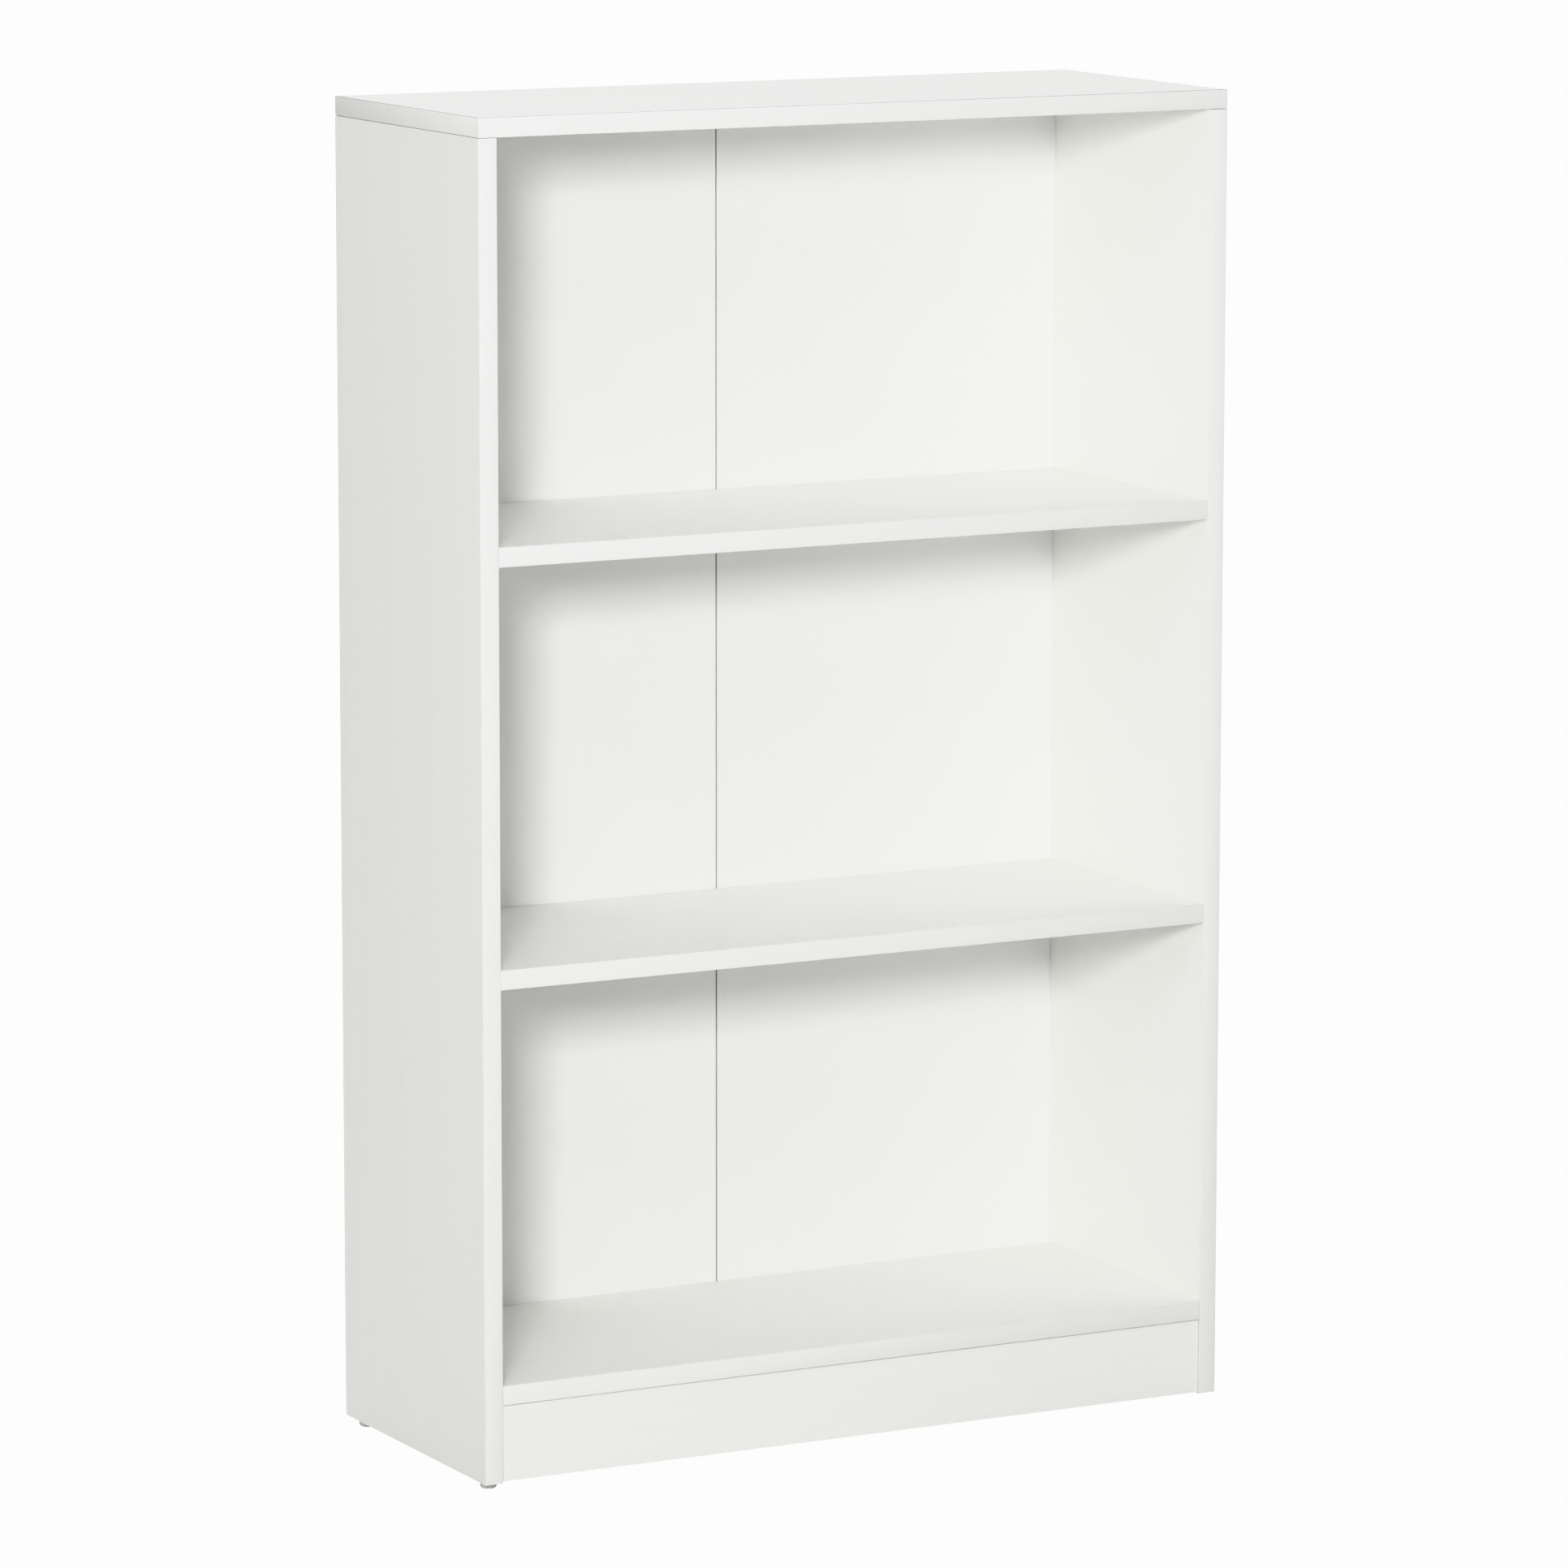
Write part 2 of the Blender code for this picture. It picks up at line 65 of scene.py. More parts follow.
# Boards
# Sides, top, shelves, bottom panel and plinth: 16 mm chipboard, hot pressed between white papers
# soaked in melamine resin. Edges without a band, grooves and bores show the bare chips, but the
# sides' upper ends and the plinth's edges are painted grey, as painted shade for the joint lines.

BOARDS = (
    "left_side_panel",
    "right_side_panel",
    "top_panel",
    "upper_shelf",
    "lower_shelf",
    "bottom_panel",
    "plinth_board",
)
JOINT_SHADED_BOARD = "plinth_board"
JOINT_SHADED_ENDS = ("left_side_panel", "right_side_panel")
PAPER_DEPTH = 0.00018
PAPER_ROUGHNESS = 0.42
MELAMINE_TONES = ((0.30, "#F7F7F4"), (0.70, "#F9F9F6"))
STREAK_WIDTH = 0.009
STREAK_LENGTH = 0.420
PEARL_GRAIN = 0.0011
PEARL_HEIGHT = 0.000012
# Grey painted on bare chips hidden in the joints: painted shade for the joint lines.
JOINT_SHADE_DEPTH = 0.0003
JOINT_SHADE_GREY = "#C8C7C3"
CORE_CHIP_LENGTH = 0.0030
CORE_CHIP_THICKNESS = 0.0009
FINE_CHIP_LENGTH = 0.0011
FINE_CHIP_THICKNESS = 0.0004
FINE_LAYER_DEPTH = 0.0024
FINE_LAYER_BLEND = 0.0008
CHIP_TONES = ((0.0, "#9E7F5A"), (1 / 3, "#BC9D74"), (2 / 3, "#D2B78F"), (1.0, "#E4D0AF"))
CHIP_HEIGHT = 0.00012
CHIP_ROUGHNESS = 0.90

# A Mix node has several sockets of one name, one for each kind of data, told apart by number.
NUMBER_A, NUMBER_B, MIXED_NUMBER = 2, 3, 0
COLOUR_A, COLOUR_B, MIXED_COLOUR = 6, 7, 2


def colour(code):
    """An sRGB hex colour as linear light, with alpha."""
    channels = [int(code[start : start + 2], 16) / 255 for start in (1, 3, 5)]
    linear = [c / 12.92 if c <= 0.04045 else ((c + 0.055) / 1.055) ** 2.4 for c in channels]
    return (*linear, 1.0)


def add_node(tree, kind, settings=None, sockets=None):
    """A node with its settings. Each socket is given a value, or another node's output to link."""
    node = tree.nodes.new(kind)
    for name, value in (settings or {}).items():
        setattr(node, name, value)
    for socket, value in (sockets or {}).items():
        if isinstance(value, bpy.types.NodeSocket):
            tree.links.new(value, node.inputs[socket])
        else:
            node.inputs[socket].default_value = value
    return node


def new_finish(name):
    """An empty material with its node tree, its shader and the place on the object."""
    made = bpy.data.materials.new(name)
    made.use_nodes = True
    tree = made.node_tree
    shader = tree.nodes["Principled BSDF"]
    place = add_node(tree, "ShaderNodeTexCoord").outputs["Object"]
    return made, tree, shader, place


def fill_ramp(node, stops):
    """Sets a colour ramp's stops, each a place from 0 to 1 and a hex colour."""
    ramp = node.color_ramp
    while len(ramp.elements) < len(stops):
        ramp.elements.new(1.0)
    for element, (position, code) in zip(ramp.elements, stops):
        element.position = position
        element.color = colour(code)


def chip_layer(tree, place, flat_size, thickness, across):
    """Pressed chips of one size, lying flat in the board: their tones and their relief."""
    scale = [1 / flat_size] * 3
    scale[across] = 1 / thickness
    laid = add_node(tree, "ShaderNodeMapping", {}, {"Vector": place, "Scale": scale})
    chips = add_node(
        tree,
        "ShaderNodeTexVoronoi",
        {},
        {"Vector": laid.outputs["Vector"], "Scale": 1.0, "Randomness": 1.0},
    )
    tone = add_node(tree, "ShaderNodeSeparateColor", {}, {"Color": chips.outputs["Color"]})
    ramp = add_node(tree, "ShaderNodeValToRGB", {}, {"Fac": tone.outputs["Red"]})
    fill_ramp(ramp, CHIP_TONES)
    return ramp.outputs["Color"], tone.outputs["Green"]


def faced_chipboard(node):
    """Melamine faced chipboard for one board.

    The paper is a skin on the two large faces, smooth with a soft sheen and a fine pearl, and its
    white has faint streaks along the board. Below the skin come fine chips, then coarse ones. The
    pearl is drawn coarser than it is, or it wouldn't show.
    """
    low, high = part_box(node)
    size = high - low
    across = min(range(3), key=lambda axis: size[axis])
    along = max(range(3), key=lambda axis: size[axis])
    made, tree, shader, place = new_finish("melamine_faced_chipboard_" + node)

    axes = add_node(tree, "ShaderNodeSeparateXYZ", {}, {"Vector": place})
    from_low = add_node(
        tree,
        "ShaderNodeMath",
        {"operation": "SUBTRACT"},
        {0: axes.outputs[across], 1: low[across]},
    )
    from_high = add_node(
        tree,
        "ShaderNodeMath",
        {"operation": "SUBTRACT"},
        {0: high[across], 1: axes.outputs[across]},
    )
    depth = add_node(
        tree,
        "ShaderNodeMath",
        {"operation": "MINIMUM"},
        {0: from_low.outputs[0], 1: from_high.outputs[0]},
    ).outputs[0]
    paper = add_node(
        tree, "ShaderNodeMath", {"operation": "LESS_THAN"}, {0: depth, 1: PAPER_DEPTH}
    ).outputs[0]

    stretch = [1 / STREAK_WIDTH] * 3
    stretch[along] = 1 / STREAK_LENGTH
    drawn = add_node(tree, "ShaderNodeMapping", {}, {"Vector": place, "Scale": stretch})
    streaks = add_node(
        tree,
        "ShaderNodeTexNoise",
        {},
        {"Vector": drawn.outputs["Vector"], "Scale": 1.0, "Detail": 3.0, "Roughness": 0.6},
    )
    white = add_node(tree, "ShaderNodeValToRGB", {}, {"Fac": streaks.outputs["Fac"]})
    fill_ramp(white, MELAMINE_TONES)
    pearl = add_node(
        tree,
        "ShaderNodeTexNoise",
        {},
        {"Vector": place, "Scale": 1 / PEARL_GRAIN, "Detail": 1.0},
    )

    fine_tone, fine_relief = chip_layer(
        tree, place, FINE_CHIP_LENGTH, FINE_CHIP_THICKNESS, across
    )
    core_tone, core_relief = chip_layer(
        tree, place, CORE_CHIP_LENGTH, CORE_CHIP_THICKNESS, across
    )
    inner = add_node(
        tree,
        "ShaderNodeMapRange",
        {},
        {
            "Value": depth,
            "From Min": FINE_LAYER_DEPTH,
            "From Max": FINE_LAYER_DEPTH + FINE_LAYER_BLEND,
        },
    ).outputs["Result"]
    chips = add_node(
        tree,
        "ShaderNodeMix",
        {"data_type": "RGBA"},
        {"Factor": inner, COLOUR_A: fine_tone, COLOUR_B: core_tone},
    ).outputs[MIXED_COLOUR]
    # The sides' upper ends and the plinth's bare chips are painted grey: painted shade in the
    # joints.
    if node == JOINT_SHADED_BOARD or node in JOINT_SHADED_ENDS:
        joint_shade_from = low.z if node == JOINT_SHADED_BOARD else high.z
        joint_shade = add_node(
            tree,
            "ShaderNodeMath",
            {"operation": "GREATER_THAN"},
            {0: axes.outputs["Z"], 1: joint_shade_from - JOINT_SHADE_DEPTH},
        ).outputs[0]
        chips = add_node(
            tree,
            "ShaderNodeMix",
            {"data_type": "RGBA"},
            {"Factor": joint_shade, COLOUR_A: chips, COLOUR_B: colour(JOINT_SHADE_GREY)},
        ).outputs[MIXED_COLOUR]
    surface = add_node(
        tree,
        "ShaderNodeMix",
        {"data_type": "RGBA"},
        {"Factor": paper, COLOUR_A: chips, COLOUR_B: white.outputs["Color"]},
    ).outputs[MIXED_COLOUR]
    tree.links.new(surface, shader.inputs["Base Color"])

    sheen = add_node(
        tree,
        "ShaderNodeMapRange",
        {},
        {"Value": paper, "To Min": CHIP_ROUGHNESS, "To Max": PAPER_ROUGHNESS},
    )
    tree.links.new(sheen.outputs["Result"], shader.inputs["Roughness"])

    chip_relief = add_node(
        tree,
        "ShaderNodeMix",
        {},
        {"Factor": inner, NUMBER_A: fine_relief, NUMBER_B: core_relief},
    ).outputs[MIXED_NUMBER]
    chip_height = add_node(
        tree, "ShaderNodeMath", {"operation": "MULTIPLY"}, {0: chip_relief, 1: CHIP_HEIGHT}
    ).outputs[0]
    pearl_height = add_node(
        tree,
        "ShaderNodeMath",
        {"operation": "MULTIPLY"},
        {0: pearl.outputs["Fac"], 1: PEARL_HEIGHT},
    ).outputs[0]
    height = add_node(
        tree,
        "ShaderNodeMix",
        {},
        {"Factor": paper, NUMBER_A: chip_height, NUMBER_B: pearl_height},
    ).outputs[MIXED_NUMBER]
    bump = add_node(tree, "ShaderNodeBump", {}, {"Height": height, "Distance": 1.0})
    tree.links.new(bump.outputs["Normal"], shader.inputs["Normal"])
    return made


def finish_node(node, material):
    """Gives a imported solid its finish."""
    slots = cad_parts[node].data.materials
    slots.clear()
    slots.append(material)


for board in BOARDS:
    finish_node(board, faced_chipboard(board))


# Edge bands
# Strips of white ABS plastic, 1 mm thick, glued on hot and trimmed, so their arrises are eased.
# They are a cooler white than the paper. The top's upper arrises are scraped and the sides' strips
# cut across, which leaves both dull; both are also painted grey, as shade along those edges and
# joints. A fine, slightly uneven line of glue lies behind.

BANDS = {
    "left_side_band": (0, -1, 0),
    "right_side_band": (0, -1, 0),
    "top_front_band": (0, -1, 0),
    "upper_shelf_band": (0, -1, 0),
    "lower_shelf_band": (0, -1, 0),
    "bottom_panel_band": (0, -1, 0),
    "top_left_band": (-1, 0, 0),
    "top_right_band": (1, 0, 0),
}
SCRAPED_SHADED_BANDS = ("top_front_band", "top_left_band", "top_right_band")
CUT_SHADED_BANDS = ("left_side_band", "right_side_band")
ARRIS_RADIUS = 0.00035
ARRIS_STEPS = 3
ABS_TONES = ((0.30, "#F2F2F1"), (0.70, "#F4F4F3"))
ABS_CLOUD = 0.030
ABS_SATIN = 0.0009
ABS_SATIN_HEIGHT = 0.000010
ABS_ROUGHNESS = 0.38
# Grey of the scraped arrises and cut ends: painted shade along the edges and in the joints.
SHADE_GREY_ABS = "#A9A9A7"
SCRAPE_WIDTH = 0.0006
SCRAPE_HEIGHT = 0.00003
SCRAPED_ROUGHNESS = 0.60
GLUE_TONES = ((0.35, "#B9B5AA"), (0.65, "#CFCBC0"))
GLUE_BEAD = 0.014
GLUE_ROUGHNESS = 0.60
GLUE_THICKNESS = 0.0003
GLUE_SINK = 0.00012
GLUE_SPAN = 0.012
GLUE_UNEVENNESS = 0.00007
GLUE_WAVE = 0.083
GLUE_RIPPLE = 0.6
GLUE_RIPPLES_PER_WAVE = 2.7
GLUE_RIPPLE_START = 1.0
SMOOTH_BELOW = math.radians(40)

# Points nearer to each other than this lie in one place.
SAME_PLACE = 1e-6

# A face looks along an axis where its normal's part on it is larger than the first of these, and
# looks upwards where its part on Z is larger than the second.
ALONG_AXIS = 0.99
UPWARDS = 0.1

# Every piece rides on the one body, as nothing moves.
BODY = "root"


def add_box(name, low, high):
    """A cube between two corners, at the origin in object mode, alone in the selection."""
    bpy.ops.object.select_all(action="DESELECT")
    bpy.ops.mesh.primitive_cube_add(size=1.0, location=(low + high) / 2, scale=high - low)
    piece = bpy.context.active_object
    piece.name = name
    piece.data.name = name
    bpy.ops.object.transform_apply(location=True, rotation=True, scale=True)
    return piece


def select_edges(piece, wanted):
    """In edit mode, selects only the edges that pass the test."""
    bpy.ops.mesh.select_mode(type="EDGE")
    bpy.ops.mesh.select_all(action="DESELECT")
    shape = bmesh.from_edit_mesh(piece.data)
    for edge in shape.edges:
        if wanted(edge):
            edge.select_set(True)
    bmesh.update_edit_mesh(piece.data)


def shade_by_angle(piece):
    """Shades the round faces smooth and keeps the corners sharp."""
    bpy.ops.object.select_all(action="DESELECT")
    piece.select_set(True)
    bpy.context.view_layer.objects.active = piece
    bpy.ops.object.shade_smooth_by_angle(angle=SMOOTH_BELOW)


def fit_piece(piece, material, nodes=()):
    """Gives a new piece its finish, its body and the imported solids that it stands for."""
    piece.data.materials.clear()
    piece.data.materials.append(material)
    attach(piece, BODY)
    if nodes:
        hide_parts(*nodes)


def extruded_abs():
    """Extruded ABS edging: even, slightly cool white, with a soft satin face from the roller.

    The satin is drawn coarser than it is, or it wouldn't show.
    """
    made, tree, shader, place = new_finish("abs_edging")
    cloud = add_node(
        tree, "ShaderNodeTexNoise", {}, {"Vector": place, "Scale": 1 / ABS_CLOUD, "Detail": 2.0}
    )
    white = add_node(tree, "ShaderNodeValToRGB", {}, {"Fac": cloud.outputs["Fac"]})
    fill_ramp(white, ABS_TONES)
    tree.links.new(white.outputs["Color"], shader.inputs["Base Color"])
    satin = add_node(
        tree, "ShaderNodeTexNoise", {}, {"Vector": place, "Scale": 1 / ABS_SATIN, "Detail": 1.0}
    )
    bump = add_node(
        tree,
        "ShaderNodeBump",
        {},
        {"Height": satin.outputs["Fac"], "Distance": ABS_SATIN_HEIGHT},
    )
    tree.links.new(bump.outputs["Normal"], shader.inputs["Normal"])
    shader.inputs["Roughness"].default_value = ABS_ROUGHNESS
    return made


def scraped_abs_painted_shade():
    """The same plastic where a scraper or a saw has dulled it, with its marks drawn coarser, painted
    grey as shade.
    """
    made, tree, shader, place = new_finish("scraped_abs_painted_shade")
    # This grey is painted shade along the scraped edges and in the joints.
    shader.inputs["Base Color"].default_value = colour(SHADE_GREY_ABS)
    shader.inputs["Roughness"].default_value = SCRAPED_ROUGHNESS
    marks = add_node(
        tree, "ShaderNodeTexNoise", {}, {"Vector": place, "Scale": 1 / SCRAPE_WIDTH, "Detail": 2.0}
    )
    bump = add_node(
        tree, "ShaderNodeBump", {}, {"Height": marks.outputs["Fac"], "Distance": SCRAPE_HEIGHT}
    )
    tree.links.new(bump.outputs["Normal"], shader.inputs["Normal"])
    return made


def set_glue():
    """Hot-melt glue: off-white, in lighter and darker beads, and dull."""
    made, tree, shader, place = new_finish("hot_melt_glue")
    beads = add_node(
        tree, "ShaderNodeTexNoise", {}, {"Vector": place, "Scale": 1 / GLUE_BEAD, "Detail": 2.0}
    )
    tone = add_node(tree, "ShaderNodeValToRGB", {}, {"Fac": beads.outputs["Fac"]})
    fill_ramp(tone, GLUE_TONES)
    tree.links.new(tone.outputs["Color"], shader.inputs["Base Color"])
    shader.inputs["Roughness"].default_value = GLUE_ROUGHNESS
    return made


def edging(node, outward, material, dulled_and_shaded):
    """One band, its outer face ringed by an eased arris, dulled and painted grey as shade where it
    was scraped or cut.
    """
    low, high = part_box(node)
    piece = add_box(node.replace("_band", "_edging"), low, high)
    outward = Vector(outward)
    face_at = max(low.dot(outward), high.dot(outward))
    bpy.ops.object.mode_set(mode="EDIT")
    select_edges(
        piece,
        lambda edge: all(abs(end.co.dot(outward) - face_at) < SAME_PLACE for end in edge.verts),
    )
    bpy.ops.mesh.bevel(offset=ARRIS_RADIUS, segments=ARRIS_STEPS, profile=0.5, affect="EDGES")
    bpy.ops.object.mode_set(mode="OBJECT")
    shade_by_angle(piece)
    fit_piece(piece, material, [node])
    piece.data.materials.append(dulled_and_shaded)
    for face in piece.data.polygons:
        eased = max(abs(part) for part in face.normal) < ALONG_AXIS
        # Scraped arrises and cut ends take the grey finish: painted shade along the edges and
        # joints.
        scraped_and_shaded = node in SCRAPED_SHADED_BANDS and eased and face.normal.z > UPWARDS
        cut = node in CUT_SHADED_BANDS and face.normal.z > ALONG_AXIS
        face.material_index = 1 if scraped_and_shaded or cut else 0


def glue_line(node, outward, material):
    """The glue behind one band. Its long edges wander a little below the board's faces."""
    low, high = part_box(node)
    out_axis = max(range(3), key=lambda axis: abs(outward[axis]))
    size = high - low
    along = max(range(3), key=lambda axis: size[axis])
    across = 3 - out_axis - along
    if outward[out_axis] < 0:
        low[out_axis] = high[out_axis]
        high[out_axis] += GLUE_THICKNESS
    else:
        high[out_axis] = low[out_axis]
        low[out_axis] -= GLUE_THICKNESS
    low[across] += GLUE_SINK
    high[across] -= GLUE_SINK
    piece = add_box(node.replace("_band", "_glue_line"), low, high)
    cuts = round(size[along] / GLUE_SPAN)
    bpy.ops.object.mode_set(mode="EDIT")
    select_edges(
        piece, lambda edge: abs((edge.verts[0].co - edge.verts[1].co)[along]) > size[along] / 2
    )
    bpy.ops.mesh.subdivide(number_cuts=cuts)
    bpy.ops.object.mode_set(mode="OBJECT")
    middle = (low[across] + high[across]) / 2
    for vertex in piece.data.vertices:
        turn = vertex.co[along] / GLUE_WAVE * 2 * math.pi
        ripple = GLUE_RIPPLE * math.sin(GLUE_RIPPLES_PER_WAVE * turn + GLUE_RIPPLE_START)
        sink = GLUE_UNEVENNESS * (math.sin(turn) + ripple) / (1 + GLUE_RIPPLE)
        vertex.co[across] += sink if vertex.co[across] < middle else -sink
    fit_piece(piece, material)


abs_edging, dulled_shaded_edging, hot_melt = extruded_abs(), scraped_abs_painted_shade(), set_glue()
for band, facing in BANDS.items():
    edging(band, facing, abs_edging, dulled_shaded_edging)
    glue_line(band, facing, hot_melt)


# Back boards
# Two sheets of 3 mm hardboard: wood fibre pressed hard and brown, rolled with white lacquer on the
# side that faces the shelves. They stand in grooves and meet at a straight seam in the middle.

BACKS = ("left_back_panel", "right_back_panel")
LACQUER_DEPTH = 0.0002
LACQUER_TONES = ((0.30, "#F9F9F9"), (0.70, "#FBFBFB"))
LACQUER_CLOUD = 0.060
LACQUER_HEIGHT = 0.000006
LACQUER_ROUGHNESS = 0.40
FIBRE_TONES = ((0.30, "#8F7558"), (0.50, "#A98E6F"), (0.72, "#BFA685"))
FIBRE_LENGTH = 0.0045
FIBRE_WIDTH = 0.0008
FIBRE_HEIGHT = 0.00006
FIBRE_ROUGHNESS = 0.85
SEAM_EDGE = "#DADADA"
SEAM_REACH = 0.0010


def lacquered_hardboard(node):
    """Hardboard with one lacquered face: smooth, even white in front, bare brown fibre behind.

    The edges that meet at the seam have caught some lacquer. The fibres are drawn coarser than
    they are, or they wouldn't show.
    """
    low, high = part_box(node)
    made, tree, shader, place = new_finish("lacquered_hardboard_" + node)
    axes = add_node(tree, "ShaderNodeSeparateXYZ", {}, {"Vector": place})
    lacquer = add_node(
        tree,
        "ShaderNodeMath",
        {"operation": "LESS_THAN"},
        {0: axes.outputs["Y"], 1: low.y + LACQUER_DEPTH},
    ).outputs[0]
    from_seam = add_node(
        tree, "ShaderNodeMath", {"operation": "ABSOLUTE"}, {0: axes.outputs["X"]}
    )
    near_seam = add_node(
        tree,
        "ShaderNodeMath",
        {"operation": "LESS_THAN"},
        {0: from_seam.outputs[0], 1: min(abs(low.x), abs(high.x)) + SEAM_REACH},
    )
    before_rear = add_node(
        tree,
        "ShaderNodeMath",
        {"operation": "LESS_THAN"},
        {0: axes.outputs["Y"], 1: high.y - LACQUER_DEPTH},
    )
    seam_edge = add_node(
        tree,
        "ShaderNodeMath",
        {"operation": "MULTIPLY"},
        {0: near_seam.outputs[0], 1: before_rear.outputs[0]},
    ).outputs[0]

    cloud = add_node(
        tree,
        "ShaderNodeTexNoise",
        {},
        {"Vector": place, "Scale": 1 / LACQUER_CLOUD, "Detail": 2.0},
    )
    white = add_node(tree, "ShaderNodeValToRGB", {}, {"Fac": cloud.outputs["Fac"]})
    fill_ramp(white, LACQUER_TONES)

    lay = (1 / FIBRE_WIDTH, 1 / FIBRE_WIDTH, 1 / FIBRE_LENGTH)
    laid = add_node(tree, "ShaderNodeMapping", {}, {"Vector": place, "Scale": lay})
    fibres = add_node(
        tree,
        "ShaderNodeTexNoise",
        {},
        {
            "Vector": laid.outputs["Vector"],
            "Scale": 1.0,
            "Detail": 4.0,
            "Roughness": 0.7,
            "Distortion": 1.2,
        },
    )
    brown = add_node(tree, "ShaderNodeValToRGB", {}, {"Fac": fibres.outputs["Fac"]})
    fill_ramp(brown, FIBRE_TONES)

    bare = add_node(
        tree,
        "ShaderNodeMix",
        {"data_type": "RGBA"},
        {"Factor": seam_edge, COLOUR_A: brown.outputs["Color"], COLOUR_B: colour(SEAM_EDGE)},
    ).outputs[MIXED_COLOUR]
    surface = add_node(
        tree,
        "ShaderNodeMix",
        {"data_type": "RGBA"},
        {"Factor": lacquer, COLOUR_A: bare, COLOUR_B: white.outputs["Color"]},
    ).outputs[MIXED_COLOUR]
    tree.links.new(surface, shader.inputs["Base Color"])
    sheen = add_node(
        tree,
        "ShaderNodeMapRange",
        {},
        {"Value": lacquer, "To Min": FIBRE_ROUGHNESS, "To Max": LACQUER_ROUGHNESS},
    )
    tree.links.new(sheen.outputs["Result"], shader.inputs["Roughness"])
    relief = add_node(
        tree,
        "ShaderNodeMapRange",
        {},
        {"Value": lacquer, "To Min": FIBRE_HEIGHT, "To Max": LACQUER_HEIGHT},
    )
    height = add_node(
        tree,
        "ShaderNodeMath",
        {"operation": "MULTIPLY"},
        {0: fibres.outputs["Fac"], 1: relief.outputs["Result"]},
    )
    bump = add_node(tree, "ShaderNodeBump", {}, {"Height": height.outputs[0], "Distance": 1.0})
    tree.links.new(bump.outputs["Normal"], shader.inputs["Normal"])
    return made


for back in BACKS:
    finish_node(back, lacquered_hardboard(back))


# Seam tape
# A strip of gummed paper tape along the seam, on the rear of the back boards. It hinges the two
# sheets, which fold flat together in the carton. It dries with slight cockles.

TAPE_NODE = "back_seam_tape"
TAPE_SHEET = 0.00016
TAPE_OVERRUN = 0.0026
TAPE_CELL = 0.006
TAPE_COCKLE = 0.00010
TAPE_COCKLE_LENGTH = 0.041
TAPE_COCKLE_LEAN = 3.0
TAPE_TONES = ((0.30, "#CFC7B6"), (0.70, "#DDD7CA"))
TAPE_FIBRE = 0.0022
TAPE_FIBRE_HEIGHT = 0.00003
TAPE_ROUGHNESS = 0.75


def gummed_paper():
    """Gummed kraft paper tape: matt and pale, faintly clouded and roughened by its fibres.

    The fibres are drawn coarser than they are, or they wouldn't show.
    """
    made, tree, shader, place = new_finish("gummed_paper_tape")
    fibres = add_node(
        tree,
        "ShaderNodeTexNoise",
        {},
        {"Vector": place, "Scale": 1 / TAPE_FIBRE, "Detail": 4.0, "Roughness": 0.65},
    )
    tone = add_node(tree, "ShaderNodeValToRGB", {}, {"Fac": fibres.outputs["Fac"]})
    fill_ramp(tone, TAPE_TONES)
    tree.links.new(tone.outputs["Color"], shader.inputs["Base Color"])
    bump = add_node(
        tree,
        "ShaderNodeBump",
        {},
        {"Height": fibres.outputs["Fac"], "Distance": TAPE_FIBRE_HEIGHT},
    )
    tree.links.new(bump.outputs["Normal"], shader.inputs["Normal"])
    shader.inputs["Roughness"].default_value = TAPE_ROUGHNESS
    return made


def seam_tape():
    """The tape lies on the boards' rear faces, and its outer face rises and falls a little."""
    low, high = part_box(TAPE_NODE)
    rear = max(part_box(back)[1].y for back in BACKS)
    free = high.y - rear - TAPE_SHEET
    near = Vector((low.x, rear, low.z - TAPE_OVERRUN))
    far = Vector((high.x, rear + TAPE_SHEET, high.z + TAPE_OVERRUN))
    piece = add_box("back_seam_paper_tape", near, far)
    bpy.ops.object.mode_set(mode="EDIT")
    select_edges(piece, lambda edge: abs((edge.verts[0].co - edge.verts[1].co).z) > TAPE_CELL)
    bpy.ops.mesh.subdivide(number_cuts=round((high.z - low.z) / TAPE_CELL))
    select_edges(piece, lambda edge: abs((edge.verts[0].co - edge.verts[1].co).x) > TAPE_CELL)
    bpy.ops.mesh.subdivide(number_cuts=round((high.x - low.x) / TAPE_CELL))
    bpy.ops.object.mode_set(mode="OBJECT")
    cockle = min(TAPE_COCKLE, free)
    for vertex in piece.data.vertices:
        across = vertex.co.x / (high.x - low.x)
        turn = 2 * math.pi * vertex.co.z / TAPE_COCKLE_LENGTH + TAPE_COCKLE_LEAN * across
        lift = cockle * 0.5 * (1 + math.sin(turn)) * (1 - (2 * across) ** 2)
        vertex.co.y += max(0.0, lift)
    shade_by_angle(piece)
    fit_piece(piece, gummed_paper(), [TAPE_NODE])


seam_tape()


# Dowels
# Turned beech pegs, 8 mm thick and 30 mm long, with chamfered ends and pressed flutes that let the
# glue and the air out of the bores.

FLUTES = 16
FLUTE_STEPS = 4
FLUTE_DEPTH = 0.00030
DOWEL_CHAMFER = 0.0008
BEECH_TONES = ((0.30, "#B98E60"), (0.55, "#D0A97B"), (0.75, "#DFBE94"))
BEECH_GRAIN = 0.0015
BEECH_GRAIN_HEIGHT = 0.00004
BEECH_ROUGHNESS = 0.62


